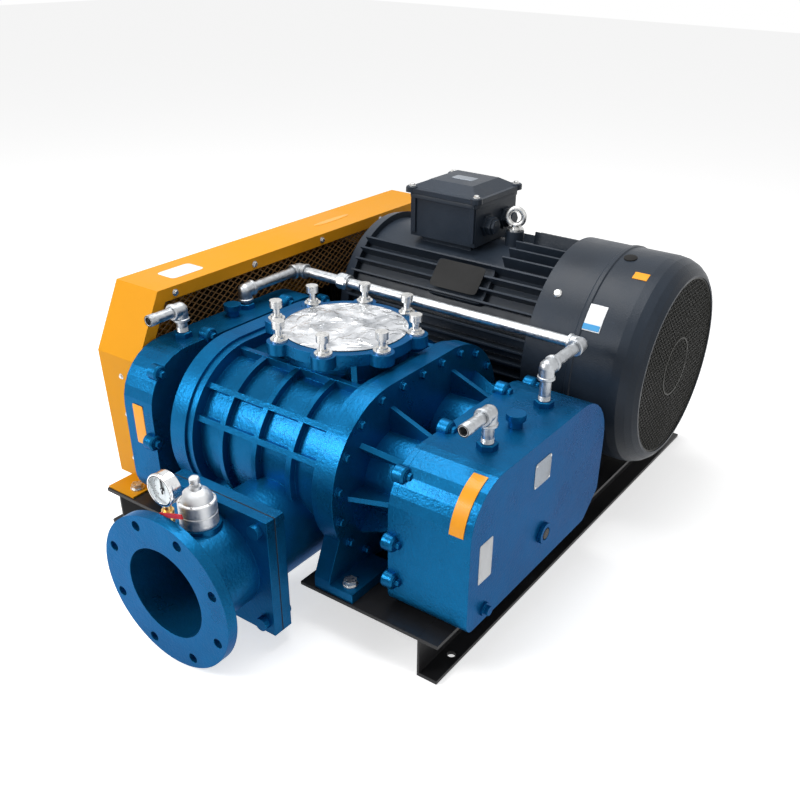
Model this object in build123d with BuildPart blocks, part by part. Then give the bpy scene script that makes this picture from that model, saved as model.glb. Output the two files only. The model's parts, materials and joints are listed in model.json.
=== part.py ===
from build123d import *
import os
from cmath import exp as turn
from math import acos, atan2, cos, hypot, pi, radians, sin, sqrt, tan

os.makedirs("parts", exist_ok=True)

# Frame: millimetres, floor at z = 0, shafts parallel to X, outlet toward -Y, motor toward +Y.
# Base frame
BASE_HALF_X = 490
BASE_HALF_Y = 645
DECK_Z = 100
DECK_T = 8
WEB_X = 442
WEB_T = 5.3
FLANGE_T = 8.5
ANCHOR_X = 470
ANCHOR_Y = 560
ANCHOR_HOLE_R = 9
CROSS_Y = (-350, -90, 190, 450)

# Blower centres and rotors
SHAFT_Z = 300
CENTRES = 228
IDLE_Y = -424
DRIVE_Y = IDLE_Y + CENTRES
MID_Y = IDLE_Y + CENTRES / 2
PITCH_R = CENTRES / 2
ROLL_R = PITCH_R / 6
ROTOR_TIP_R = PITCH_R + 2 * ROLL_R
LOBE_CLEARANCE = 0.45
CHAMBER_R = ROTOR_TIP_R + 0.6
END_CLEARANCE = 0.4
RUNNING_CLEARANCE = 0.05
CASING_X0 = -205
CASING_X1 = 175
CASING_R = 168
DRIVE_PLATE_X = -250
GEAR_PLATE_X = 215
PLATE_R = 200
SHAFT_R = 35
SHAFT_END_R = 30
BEARING_R = 62.5
BEARING_W = 34
HOUSING_R = 95
OIL_FLANGE_X = -310
OIL_CASE_X = -390
GEAR_FLANGE_X = 350
GEAR_CASE_X = 526
WALL = 12
GEAR_MODULE = 6
GEAR_TEETH = 38
GEAR_X0 = 385
GEAR_X1 = 445

# Ports
INTAKE_X = 2
INTAKE_Z = 537
OUTLET_X = 22
OUTLET_Z = 177
OUTLET_FACE_Y = -903
JOINT_Y = -730
GASKET_T = 3
PORT_R = 100
PIPE_R = 108
SQUARE_HALF = 140
SQUARE_BOLT = 114
VALVE_Y = -797
VALVE_Z = 290
GAUGE_X = 8
GAUGE_Y = -857
GAUGE_Z = 391

# Belt drive
MOTOR_Y = 285
MOTOR_Z = 380
BLOWER_PULLEY_R = 195
MOTOR_PULLEY_R = 110
PULLEY_X = -457.5
PULLEY_W = 101
GROOVES = 5
GROOVE_PITCH = 19
GROOVE_W = 15
GROOVE_D = 13
BELT_GAP = 0.3
MOTOR_SHAFT_R = 37.5

# Guard
GUARD_X0 = -535
GUARD_X1 = -395
SHEET = 3
GUARD_TOP = 580
GUARD_FOOT_T = 4

# Motor
FRAME_X0 = -290
FRAME_X1 = 300
FRAME_R = 215
FIN_R = 248
CORE_R = 200
STATOR_BORE_R = 132
FAN_END_R = 30
COWL_R = 262
COWL_X0 = 270
COWL_X1 = 565
GRILLE_R = 225
FOOT_DY = 228.5
FOOT_X = (-215, 204)
BOX_X0 = -175
BOX_X1 = 25
BOX_HALF = 100
BOX_Z0 = 597
BOX_Z1 = 708
EYE_X = 84

AXES = {"X": (1, 0, 0), "Y": (0, 1, 0), "Z": (0, 0, 1)}


def block(x0, x1, y0, y1, z0, z1, mode=Mode.ADD):
    """Box between two opposite corners."""
    with Locations(((x0 + x1) / 2, (y0 + y1) / 2, (z0 + z1) / 2)):
        Box(x1 - x0, y1 - y0, z1 - z0, mode=mode)


def rod(axis, x, y, z, radius, length, mode=Mode.ADD):
    """Cylinder starting at a point and running along one axis."""
    with Locations(Plane((x, y, z), z_dir=AXES[axis])):
        Cylinder(radius, length, align=(Align.CENTER, Align.CENTER, Align.MIN), mode=mode)


def prism(points, run, mode=Mode.ADD):
    """Prism from a closed flat outline in space, moved along a run vector."""
    face = Face(Wire.make_polygon([Vector(*p) for p in points], close=True))
    add(Solid.extrude(face, Vector(*run)), mode=mode)


def plate_x(outline, x0, x1, mode=Mode.ADD):
    """Plate across X from (y, z) outline points."""
    prism([(x0, y, z) for y, z in outline], (x1 - x0, 0, 0), mode)


def turned(profile, y, z, mode=Mode.ADD):
    """Body of revolution about a line parallel to X, from (x, radius) points."""
    face = Face(Wire.make_polygon([Vector(x, y, z + r) for x, r in profile], close=True))
    add(Solid.revolve(face, 360, Axis((0, y, z), (1, 0, 0))), mode=mode)


def stadium(radius, x0, x1, mode=Mode.ADD):
    """Slot-shaped body round both rotor axes."""
    rod("X", x0, IDLE_Y, SHAFT_Z, radius, x1 - x0, mode)
    rod("X", x0, DRIVE_Y, SHAFT_Z, radius, x1 - x0, mode)
    block(x0, x1, IDLE_Y, DRIVE_Y, SHAFT_Z - radius, SHAFT_Z + radius, mode)


def softened(corners, steps=8):
    """Outline points of a polygon whose (y, z, radius) corners are rounded."""
    points = []
    for i, (y, z, radius) in enumerate(corners):
        here = complex(y, z)
        before = complex(*corners[i - 1][:2]) - here
        after = complex(*corners[(i + 1) % len(corners)][:2]) - here
        before = before / abs(before)
        after = after / abs(after)
        half = acos((before * after.conjugate()).real) / 2
        middle = here + (before + after) / abs(before + after) * radius / sin(half)
        first = here + before * radius / tan(half) - middle
        last = here + after * radius / tan(half) - middle
        a0 = atan2(first.imag, first.real)
        sweep = (atan2(last.imag, last.real) - a0 + pi) % (2 * pi) - pi
        for k in range(steps + 1):
            p = middle + radius * turn(1j * (a0 + sweep * k / steps))
            points.append((p.real, p.imag))
    return points


def square_flange(y0, y1):
    """Square plate of the outlet joint between two stations."""
    x0 = OUTLET_X - SQUARE_HALF
    z0 = OUTLET_Z - SQUARE_HALF
    block(x0, x0 + 2 * SQUARE_HALF, y0, y1, z0, z0 + 2 * SQUARE_HALF)


def rib(y, z, angle, x0, x1, r0, r1, r2, thick, mode=Mode.ADD):
    """Radial rib about an X axis: from r0 out to r1 at x0 and r2 at x1."""
    c = cos(radians(angle))
    s = sin(radians(angle))
    corners = []
    for x, r in ((x0, r0), (x0, r1), (x1, r2), (x1, r0)):
        corners.append((x, y + r * c + thick / 2 * s, z + r * s - thick / 2 * c))
    prism(corners, (0, -thick * s, thick * c), mode)


def hexagon_z(x, y, z0, z1, flats):
    """Hexagonal head or nut standing on Z."""
    r = flats / sqrt(3)
    points = [(x + r * cos(k * pi / 3), y + r * sin(k * pi / 3), z0) for k in range(6)]
    prism(points, (0, 0, z1 - z0))


def bolt_z(x, y, seat, under, radius, flats):
    """Through bolt with washer and head on a seat and a nut under a plate."""
    rod("Z", x, y, under - 1.3 * radius, radius, seat - under + 1.3 * radius + 1)
    rod("Z", x, y, seat, radius * 2.1, 3)
    hexagon_z(x, y, seat + 3, seat + 3 + 1.3 * radius, flats)
    hexagon_z(x, y, under - 1.5 * radius, under, flats)


def lobes(y):
    """Three-lobe rotor outline: outer and inner rolling curves, set in by the clearance."""
    ring = []
    for arch in range(6):
        for k in range(14):
            a = radians(-30 + 60 * k / 14)
            if arch % 2 == 0:
                p = (PITCH_R + ROLL_R) * turn(1j * a) + ROLL_R * turn(7j * a)
            else:
                p = (PITCH_R - ROLL_R) * turn(1j * a) - ROLL_R * turn(-5j * a)
            ring.append(p * turn(1j * arch * pi / 3))
    points = []
    for i, p in enumerate(ring):
        along = ring[(i + 1) % len(ring)] - ring[i - 1]
        p = p + 1j * along / abs(along) * LOBE_CLEARANCE
        points.append((y + p.real, SHAFT_Z + p.imag))
    return points


def gear(y, phase):
    """Involute spur gear outline, twenty degree pressure angle, thinned for backlash."""
    base = PITCH_R * cos(radians(20))
    flank = []
    for k in range(4):
        r = base + 0.4 + k * (PITCH_R + GEAR_MODULE - base - 0.4) / 3
        pressure = acos(base / r)
        spread = pi / (2 * GEAR_TEETH) + tan(radians(20)) - radians(20) - tan(pressure) + pressure
        flank.append((r, spread - 0.0015))
    flank.insert(0, (PITCH_R - 1.25 * GEAR_MODULE, flank[0][1] + 0.004))
    points = []
    for tooth in range(GEAR_TEETH):
        centre = 2 * pi * tooth / GEAR_TEETH + phase
        for r, spread in flank:
            points.append((y + r * cos(centre - spread), SHAFT_Z + r * sin(centre - spread)))
        for r, spread in reversed(flank):
            points.append((y + r * cos(centre + spread), SHAFT_Z + r * sin(centre + spread)))
    return points


def pulley(radius, bore, hub, y, z):
    """Grooved pulley with a web, a hub and square-sided belt grooves."""
    x0 = PULLEY_X - PULLEY_W / 2
    x1 = PULLEY_X + PULLEY_W / 2
    rim = radius - GROOVE_D - 12
    profile = [(x0, bore), (x0, hub), (PULLEY_X - 14, hub), (PULLEY_X - 14, rim), (x0, rim), (x0, radius)]
    for g in range(GROOVES):
        middle = PULLEY_X + GROOVE_PITCH * (g - (GROOVES - 1) / 2)
        a = middle - GROOVE_W / 2
        b = middle + GROOVE_W / 2
        profile += [(a, radius), (a, radius - GROOVE_D), (b, radius - GROOVE_D), (b, radius)]
    profile += [(x1, radius), (x1, rim), (PULLEY_X + 14, rim), (PULLEY_X + 14, hub), (x1, hub), (x1, bore)]
    turned(profile, y, z)


def loop(outset, x0, x1, mode=Mode.ADD):
    """Body wrapped round both pulleys, outset from their rims."""
    near = complex(DRIVE_Y, SHAFT_Z)
    far = complex(MOTOR_Y, MOTOR_Z)
    way = (far - near) / abs(far - near)
    r1 = BLOWER_PULLEY_R + outset
    r2 = MOTOR_PULLEY_R + outset
    lean = acos((r1 - r2) / abs(far - near))
    rod("X", x0, DRIVE_Y, SHAFT_Z, r1, x1 - x0, mode)
    rod("X", x0, MOTOR_Y, MOTOR_Z, r2, x1 - x0, mode)
    points = [near + r1 * way * turn(1j * lean), near + r1 * way * turn(-1j * lean)]
    points += [far + r2 * way * turn(-1j * lean), far + r2 * way * turn(1j * lean)]
    plate_x([(p.real, p.imag) for p in points], x0, x1, mode)


def gear_outline(inset):
    """Gear case outline in (y, z), moved inward by a wall."""
    return softened([
        (-600 + inset, 112 + inset, 24 - inset / 2),
        (-600 + inset, 435 - inset, 110 - inset),
        (-30 - inset, 435 - inset, 130 - inset),
        (-30 - inset, 170 + inset / 2, 20),
        (-92 - inset / 2, 112 + inset, 20),
    ])


def oil_outline(inset):
    """Drive-side oil case outline in (y, z), moved inward by a wall."""
    return softened([
        (-628 + inset, 108 + inset, 70 - inset),
        (-628 + inset, 478 - inset, 125 - inset),
        (8 - inset, 478 - inset, 125 - inset),
        (8 - inset, 108 + inset, 70 - inset),
    ])


def guard_outline(inset):
    """Guard side outline in (y, z), moved inward."""
    k = inset
    return [
        (-565 + k, DECK_Z),
        (-572 + k, 430 - 0.3 * k),
        (-490 + 0.6 * k, GUARD_TOP - k),
        (585 - 0.6 * k, GUARD_TOP - k),
        (640 - k, 430 - 0.3 * k),
        (630 - k, DECK_Z),
    ]


def clipped(outline, a, b):
    """Part of an endless line through a and b that lies inside a convex outline."""
    t0 = -99.0
    t1 = 99.0
    cy = sum(p[0] for p in outline) / len(outline)
    cz = sum(p[1] for p in outline) / len(outline)
    for i, p in enumerate(outline):
        q = outline[(i + 1) % len(outline)]
        ny = q[1] - p[1]
        nz = p[0] - q[0]
        side = (cy - p[0]) * ny + (cz - p[1]) * nz
        start = ((a[0] - p[0]) * ny + (a[1] - p[1]) * nz) * side
        slope = ((b[0] - a[0]) * ny + (b[1] - a[1]) * nz) * side
        if abs(slope) < 1e-9:
            if start < 0:
                return None
            continue
        hit = -start / slope
        if slope > 0:
            t0 = max(t0, hit)
        else:
            t1 = min(t1, hit)
    if t1 - t0 < 0.02:
        return None
    return [(a[0] + t * (b[0] - a[0]), a[1] + t * (b[1] - a[1])) for t in (t0, t1)]


def lattice(outline, x, layer, pitch, bar):
    """Two face-to-face layers of slanting bars inside a convex outline."""
    for way in (-1, 1):
        x0 = x if way < 0 else x + layer
        for k in range(-30, 50):
            a = (-900 + k * pitch, 100.0)
            b = (a[0] + way * 340, 540.0)
            ends = clipped(outline, a, b)
            if ends is None or hypot(ends[1][0] - ends[0][0], ends[1][1] - ends[0][1]) < 3 * bar:
                continue
            (ya, za), (yb, zb) = ends
            span = hypot(yb - ya, zb - za)
            ny = -(zb - za) / span * bar / 2
            nz = (yb - ya) / span * bar / 2
            corners = [(ya + ny, za + nz), (yb + ny, zb + nz), (yb - ny, zb - nz), (ya - ny, za - nz)]
            plate_x(corners, x0, x0 + layer)


def foot(x0, x1, side, plate0, plate1):
    """Cast foot on the deck joined to an end plate, on the near (-1) or far (1) side."""
    def at(offset):
        return MID_Y + side * offset
    ys = sorted((at(190), at(331)))
    block(x0, x1, ys[0], ys[1], DECK_Z, DECK_Z + 22)
    web = [(at(331), DECK_Z), (at(331), DECK_Z + 30), (at(290), 222), (at(190), 222), (at(190), DECK_Z)]
    plate_x(web, plate0, plate1)


FOOT_BOLTS = [(x, MID_Y + s * 303) for x in (-272, 248) for s in (-1, 1)]
MOTOR_BOLTS = [(x, MOTOR_Y + s * FOOT_DY) for x in FOOT_X for s in (-1, 1)]
GUARD_BOLTS = [(-425, -606), (-425, 598)]

# ---------------------------------------------------------------- base
with BuildPart() as base_end_channels:
    for side in (-1, 1):
        web = sorted((side * WEB_X, side * (WEB_X + WEB_T)))
        toe = sorted((side * WEB_X, side * BASE_HALF_X))
        block(web[0], web[1], -BASE_HALF_Y, BASE_HALF_Y, 0, DECK_Z)
        block(toe[0], toe[1], -BASE_HALF_Y, BASE_HALF_Y, 0, FLANGE_T)
        block(toe[0], toe[1], -BASE_HALF_Y, BASE_HALF_Y, DECK_Z - FLANGE_T, DECK_Z)
        for y in (-ANCHOR_Y, ANCHOR_Y):
            rod("Z", side * ANCHOR_X, y, -1, ANCHOR_HOLE_R, FLANGE_T + 2, Mode.SUBTRACT)
base_end_channels.part.label = "base_end_channels"
export_step(base_end_channels.part, "parts/base_end_channels.step")

with BuildPart() as base_cross_members:
    for y in CROSS_Y:
        block(-WEB_X, WEB_X, y - 25, y + 25, 16, DECK_Z - DECK_T)
        block(-WEB_X, WEB_X, y - 20, y + 20, 21, DECK_Z - DECK_T - 5, Mode.SUBTRACT)
base_cross_members.part.label = "base_cross_members"
export_step(base_cross_members.part, "parts/base_cross_members.step")

with BuildPart() as base_deck:
    block(-WEB_X, WEB_X, -BASE_HALF_Y, BASE_HALF_Y, DECK_Z - DECK_T, DECK_Z)
    block(OUTLET_X - PIPE_R - 8, OUTLET_X + PIPE_R + 8, -BASE_HALF_Y, -430, DECK_Z - 9, DECK_Z, Mode.SUBTRACT)
    for x, y in FOOT_BOLTS + GUARD_BOLTS:
        rod("Z", x, y, DECK_Z - 9, 9, 10, Mode.SUBTRACT)
    for x, y in MOTOR_BOLTS:
        rod("Z", x, y, DECK_Z - 9, 12, 10, Mode.SUBTRACT)
base_deck.part.label = "base_deck"
export_step(base_deck.part, "parts/base_deck.step")

# ---------------------------------------------------------------- blower castings
with BuildPart() as rotor_casing:
    stadium(CASING_R, CASING_X0, CASING_X1)
    stadium(194, CASING_X0, CASING_X0 + 18)
    stadium(194, CASING_X1 - 18, CASING_X1)
    for x in (-112, -15, 82):
        stadium(184, x - 7, x + 7)
    for y, way in ((IDLE_Y, -1), (DRIVE_Y, 1)):
        for lift in (46, 22, -40):
            rib(y, SHAFT_Z, 90 - way * (90 - lift), CASING_X0, CASING_X1, 150, 184, 184, 13)
    for y in (IDLE_Y - 20, DRIVE_Y + 20):
        block(CASING_X0, CASING_X1, y - 7, y + 7, SHAFT_Z + 150, SHAFT_Z + 184)
    rod("Z", INTAKE_X, MID_Y, SHAFT_Z + 120, 138, INTAKE_Z - SHAFT_Z - 120)
    rod("Z", INTAKE_X, MID_Y, INTAKE_Z - 26, 160, 26)
    for k in range(8):
        a = radians(22.5 + 45 * k)
        rod("Z", INTAKE_X + 160 * cos(a), MID_Y + 160 * sin(a), INTAKE_Z - 26, 27, 26)
    for k in range(4):
        a = radians(45 * (2 * k + 1))
        c = cos(a)
        s = sin(a)
        leg = []
        for r, z in ((130, 460), (185, 460), (158, 515), (130, 515)):
            leg.append((r * c + INTAKE_X + 6 * s, r * s + MID_Y - 6 * c, z))
        prism(leg, (-12 * s, 12 * c, 0))
    rod("Y", OUTLET_X, JOINT_Y + 24, OUTLET_Z, PIPE_R, -JOINT_Y - 24 - 445)
    square_flange(JOINT_Y, JOINT_Y + 24)
    rod("X", CASING_X0, IDLE_Y, SHAFT_Z, CHAMBER_R, CASING_X1 - CASING_X0, Mode.SUBTRACT)
    rod("X", CASING_X0, DRIVE_Y, SHAFT_Z, CHAMBER_R, CASING_X1 - CASING_X0, Mode.SUBTRACT)
    rod("Z", INTAKE_X, MID_Y, SHAFT_Z, PORT_R, INTAKE_Z - SHAFT_Z, Mode.SUBTRACT)
    rod("Y", OUTLET_X, JOINT_Y, OUTLET_Z, PORT_R, -JOINT_Y - 470, Mode.SUBTRACT)
    for sx in (-1, 1):
        for sz in (-1, 1):
            hole_x, hole_z = OUTLET_X + sx * SQUARE_BOLT, OUTLET_Z + sz * SQUARE_BOLT
            rod("Y", hole_x, JOINT_Y - 1, hole_z, 9, 26, Mode.SUBTRACT)
    for k in range(8):
        a = radians(22.5 + 45 * k)
        rod("Z", INTAKE_X + 160 * cos(a), MID_Y + 160 * sin(a), INTAKE_Z - 20, 8, 21, Mode.SUBTRACT)
rotor_casing.part.label = "rotor_casing"
export_step(rotor_casing.part, "parts/rotor_casing.step")

with BuildPart() as drive_end_plate:
    stadium(PLATE_R, DRIVE_PLATE_X, CASING_X0)
    for side in (-1, 1):
        foot(-296, CASING_X0, side, DRIVE_PLATE_X, CASING_X0)
    for y in (IDLE_Y, DRIVE_Y):
        rod("X", OIL_FLANGE_X, y, SHAFT_Z, HOUSING_R, DRIVE_PLATE_X - OIL_FLANGE_X)
    plate_x(oil_outline(0), OIL_FLANGE_X, OIL_FLANGE_X + WALL)
    for x, y in FOOT_BOLTS:
        if x < 0:
            rod("Z", x, y, DECK_Z - 1, 9, 40, Mode.SUBTRACT)
    for y in (IDLE_Y, DRIVE_Y):
        rod("X", OIL_FLANGE_X - 1, y, SHAFT_Z, SHAFT_R + 1, 110, Mode.SUBTRACT)
        rod("X", OIL_FLANGE_X - 1, y, SHAFT_Z, BEARING_R, BEARING_W + 5, Mode.SUBTRACT)
drive_end_plate.part.label = "drive_end_plate"
export_step(drive_end_plate.part, "parts/drive_end_plate.step")

with BuildPart() as gear_end_plate:
    stadium(PLATE_R, CASING_X1, GEAR_PLATE_X)
    for side in (-1, 1):
        foot(CASING_X1, 275, side, CASING_X1, GEAR_PLATE_X)
    for x, y in FOOT_BOLTS:
        if x > 0:
            rod("Z", x, y, DECK_Z - 1, 9, 40, Mode.SUBTRACT)
    for y in (IDLE_Y, DRIVE_Y):
        rod("X", CASING_X1 - 1, y, SHAFT_Z, SHAFT_R + 1, 60, Mode.SUBTRACT)
gear_end_plate.part.label = "gear_end_plate"
export_step(gear_end_plate.part, "parts/gear_end_plate.step")

with BuildPart() as gear_side_bearing_housings:
    for y, first in ((IDLE_Y, 90), (DRIVE_Y, -90)):
        rod("X", GEAR_PLATE_X, y, SHAFT_Z, HOUSING_R, GEAR_FLANGE_X - GEAR_PLATE_X)
        for k in range(5):
            rib(y, SHAFT_Z, first + 45 * k, GEAR_PLATE_X, GEAR_FLANGE_X - 14, 80, 150, 104, 12)
    plate_x(gear_outline(0), GEAR_FLANGE_X - 14, GEAR_FLANGE_X)
    for y in (IDLE_Y, DRIVE_Y):
        rod("X", GEAR_PLATE_X - 1, y, SHAFT_Z, SHAFT_R + 1, 200, Mode.SUBTRACT)
        rod("X", GEAR_FLANGE_X - BEARING_W - 40, y, SHAFT_Z, BEARING_R, BEARING_W + 41, Mode.SUBTRACT)
gear_side_bearing_housings.part.label = "gear_side_bearing_housings"
export_step(gear_side_bearing_housings.part, "parts/gear_side_bearing_housings.step")

with BuildPart() as gear_case:
    plate_x(gear_outline(0), GEAR_FLANGE_X, GEAR_CASE_X)
    plate_x(gear_outline(WALL), GEAR_FLANGE_X - 1, GEAR_CASE_X - WALL, Mode.SUBTRACT)
gear_case.part.label = "gear_case"
export_step(gear_case.part, "parts/gear_case.step")

with BuildPart() as drive_oil_case:
    plate_x(oil_outline(0), OIL_CASE_X, OIL_FLANGE_X)
    plate_x(oil_outline(WALL), OIL_CASE_X + WALL, OIL_FLANGE_X + 1, Mode.SUBTRACT)
    rod("X", OIL_CASE_X - 1, DRIVE_Y, SHAFT_Z, 50, WALL + 2, Mode.SUBTRACT)
drive_oil_case.part.label = "drive_oil_case"
export_step(drive_oil_case.part, "parts/drive_oil_case.step")

with BuildPart() as rotor_bearings:
    for y in (IDLE_Y, DRIVE_Y):
        for x in (OIL_FLANGE_X + 4, GEAR_FLANGE_X - BEARING_W - 40):
            rod("X", x, y, SHAFT_Z, BEARING_R, BEARING_W)
            rod("X", x, y, SHAFT_Z, SHAFT_R + RUNNING_CLEARANCE, BEARING_W, Mode.SUBTRACT)
rotor_bearings.part.label = "rotor_bearings"
export_step(rotor_bearings.part, "parts/rotor_bearings.step")

with BuildPart() as drive_shaft_seal:
    rod("X", OIL_CASE_X, DRIVE_Y, SHAFT_Z, 50, WALL)
    rod("X", OIL_CASE_X, DRIVE_Y, SHAFT_Z, SHAFT_END_R + RUNNING_CLEARANCE, WALL, Mode.SUBTRACT)
drive_shaft_seal.part.label = "drive_shaft_seal"
export_step(drive_shaft_seal.part, "parts/drive_shaft_seal.step")

# ---------------------------------------------------------------- rotors and timing gears
with BuildPart() as drive_rotor:
    plate_x(lobes(DRIVE_Y), CASING_X0 + END_CLEARANCE, CASING_X1 - END_CLEARANCE)
    rod("X", -330, DRIVE_Y, SHAFT_Z, SHAFT_R, 330 + GEAR_X0 - 20)
    rod("X", -515, DRIVE_Y, SHAFT_Z, SHAFT_END_R, 515 + GEAR_X1 + 15)
drive_rotor.part.label = "drive_rotor"
export_step(drive_rotor.part, "parts/drive_rotor.step")

with BuildPart() as idle_rotor:
    plate_x(lobes(IDLE_Y), CASING_X0 + END_CLEARANCE, CASING_X1 - END_CLEARANCE)
    rod("X", -306, IDLE_Y, SHAFT_Z, SHAFT_R, 306 + GEAR_X0 - 20)
    rod("X", 0, IDLE_Y, SHAFT_Z, SHAFT_END_R, GEAR_X1 + 15)
idle_rotor.part.label = "idle_rotor"
export_step(idle_rotor.part, "parts/idle_rotor.step")

with BuildPart() as drive_timing_gear:
    plate_x(gear(DRIVE_Y, 0), GEAR_X0, GEAR_X1)
    rod("X", GEAR_X0, DRIVE_Y, SHAFT_Z, SHAFT_END_R, GEAR_X1 - GEAR_X0, Mode.SUBTRACT)
drive_timing_gear.part.label = "drive_timing_gear"
export_step(drive_timing_gear.part, "parts/drive_timing_gear.step")

with BuildPart() as idle_timing_gear:
    plate_x(gear(IDLE_Y, pi / GEAR_TEETH), GEAR_X0, GEAR_X1)
    rod("X", GEAR_X0, IDLE_Y, SHAFT_Z, SHAFT_END_R, GEAR_X1 - GEAR_X0, Mode.SUBTRACT)
idle_timing_gear.part.label = "idle_timing_gear"
export_step(idle_timing_gear.part, "parts/idle_timing_gear.step")

# ---------------------------------------------------------------- intake cover and outlet spool
with BuildPart() as intake_bolts:
    for k in range(8):
        a = radians(22.5 + 45 * k)
        x = INTAKE_X + 160 * cos(a)
        y = MID_Y + 160 * sin(a)
        rod("Z", x, y, INTAKE_Z - 20, 8, 60)
        rod("Z", x, y, INTAKE_Z, 19, 5)
        rod("Z", x, y, INTAKE_Z + 5, 13, 6)
        rod("Z", x, y, INTAKE_Z + 29, 14, 16)
intake_bolts.part.label = "intake_bolts"
export_step(intake_bolts.part, "parts/intake_bolts.step")

with BuildPart() as intake_film:
    rod("Z", INTAKE_X, MID_Y, INTAKE_Z, 136, 0.6)
intake_film.part.label = "intake_film"
export_step(intake_film.part, "parts/intake_film.step")

with BuildPart() as discharge_gasket:
    y0 = JOINT_Y - GASKET_T
    square_flange(y0, JOINT_Y)
    rod("Y", OUTLET_X, y0, OUTLET_Z, PORT_R, GASKET_T, Mode.SUBTRACT)
    for sx in (-1, 1):
        for sz in (-1, 1):
            rod("Y", OUTLET_X + sx * SQUARE_BOLT, y0, OUTLET_Z + sz * SQUARE_BOLT, 9, GASKET_T, Mode.SUBTRACT)
discharge_gasket.part.label = "discharge_gasket"
export_step(discharge_gasket.part, "parts/discharge_gasket.step")

with BuildPart() as discharge_spool:
    y1 = JOINT_Y - GASKET_T
    rod("Y", OUTLET_X, OUTLET_FACE_Y, OUTLET_Z, 170, 24)
    rod("Y", OUTLET_X, OUTLET_FACE_Y, OUTLET_Z, PIPE_R, y1 - OUTLET_FACE_Y)
    square_flange(y1 - 22, y1)
    rod("Z", OUTLET_X, VALVE_Y, OUTLET_Z, 40, VALVE_Z - OUTLET_Z)
    rod("Z", OUTLET_X, VALVE_Y, VALVE_Z - 14, 44, 14)
    rod("Z", GAUGE_X, GAUGE_Y, OUTLET_Z, 13, 292 - OUTLET_Z)
    rod("Y", OUTLET_X, OUTLET_FACE_Y, OUTLET_Z, PORT_R, y1 - OUTLET_FACE_Y, Mode.SUBTRACT)
    rod("Z", OUTLET_X, VALVE_Y, OUTLET_Z, 28, 200, Mode.SUBTRACT)
    for k in range(8):
        a = radians(22.5 + 45 * k)
        rod("Y", OUTLET_X + 147.5 * cos(a), OUTLET_FACE_Y, OUTLET_Z + 147.5 * sin(a), 11, 24, Mode.SUBTRACT)
    for sx in (-1, 1):
        for sz in (-1, 1):
            rod("Y", OUTLET_X + sx * SQUARE_BOLT, y1 - 22, OUTLET_Z + sz * SQUARE_BOLT, 9, 22, Mode.SUBTRACT)
discharge_spool.part.label = "discharge_spool"
export_step(discharge_spool.part, "parts/discharge_spool.step")

with BuildPart() as discharge_bolts:
    y0 = JOINT_Y - GASKET_T - 22
    for sx in (-1, 1):
        for sz in (-1, 1):
            x = OUTLET_X + sx * SQUARE_BOLT
            z = OUTLET_Z + sz * SQUARE_BOLT
            rod("Y", x, y0 - 5, z, 9, JOINT_Y + 24 - y0 + 10)
            rod("Y", x, y0 - 14, z, 15, 14)
            rod("Y", x, JOINT_Y + 24, z, 15, 14)
discharge_bolts.part.label = "discharge_bolts"
export_step(discharge_bolts.part, "parts/discharge_bolts.step")

with BuildPart() as relief_valve_body:
    rod("Z", OUTLET_X, VALVE_Y, VALVE_Z, 38, 10)
    rod("Z", OUTLET_X, VALVE_Y, VALVE_Z + 10, 34, 34)
    rod("Z", OUTLET_X, VALVE_Y, VALVE_Z + 44, 38, 10)
    rod("Z", OUTLET_X, VALVE_Y, VALVE_Z + 54, 24, 30)
    rod("Z", OUTLET_X, VALVE_Y, VALVE_Z + 30, 5 + RUNNING_CLEARANCE, 60, Mode.SUBTRACT)
relief_valve_body.part.label = "relief_valve_body"
export_step(relief_valve_body.part, "parts/relief_valve_body.step")

with BuildPart() as relief_knob:
    rod("Z", OUTLET_X, VALVE_Y, VALVE_Z + 40, 5, 62)
    rod("Z", OUTLET_X, VALVE_Y, VALVE_Z + 86, 15, 18)
relief_knob.part.label = "relief_knob"
export_step(relief_knob.part, "parts/relief_knob.step")

with BuildPart() as gauge_cock_body:
    rod("Z", GAUGE_X, GAUGE_Y, 292, 8, 60)
    rod("Z", GAUGE_X, GAUGE_Y, 318, 12, 26)
    rod("Y", GAUGE_X, GAUGE_Y - 16, 331, 9, 16)
    rod("Y", GAUGE_X, GAUGE_Y - 17, 331, 4 + RUNNING_CLEARANCE, 13, Mode.SUBTRACT)
gauge_cock_body.part.label = "gauge_cock_body"
export_step(gauge_cock_body.part, "parts/gauge_cock_body.step")

with BuildPart() as cock_lever:
    rod("Y", GAUGE_X, GAUGE_Y - 20, 331, 4, 15)
    block(GAUGE_X - 7, GAUGE_X + 48, GAUGE_Y - 21, GAUGE_Y - 17.5, 325, 337)
cock_lever.part.label = "cock_lever"
export_step(cock_lever.part, "parts/cock_lever.step")

with BuildPart() as pressure_gauge_case:
    rod("Y", GAUGE_X, GAUGE_Y - 13, GAUGE_Z, 33, 26)
    rod("Y", GAUGE_X, GAUGE_Y - 13, GAUGE_Z, 29, 11, Mode.SUBTRACT)
    rod("Z", GAUGE_X, GAUGE_Y, 352, 7, 8)
    rod("Y", GAUGE_X, GAUGE_Y - 8, GAUGE_Z, 1.5, 8)
pressure_gauge_case.part.label = "pressure_gauge_case"
export_step(pressure_gauge_case.part, "parts/pressure_gauge_case.step")

with BuildPart() as gauge_dial:
    rod("Y", GAUGE_X, GAUGE_Y - 3, GAUGE_Z, 29, 1)
    rod("Y", GAUGE_X, GAUGE_Y - 3, GAUGE_Z, 1.5, 1, Mode.SUBTRACT)
gauge_dial.part.label = "gauge_dial"
export_step(gauge_dial.part, "parts/gauge_dial.step")

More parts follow.
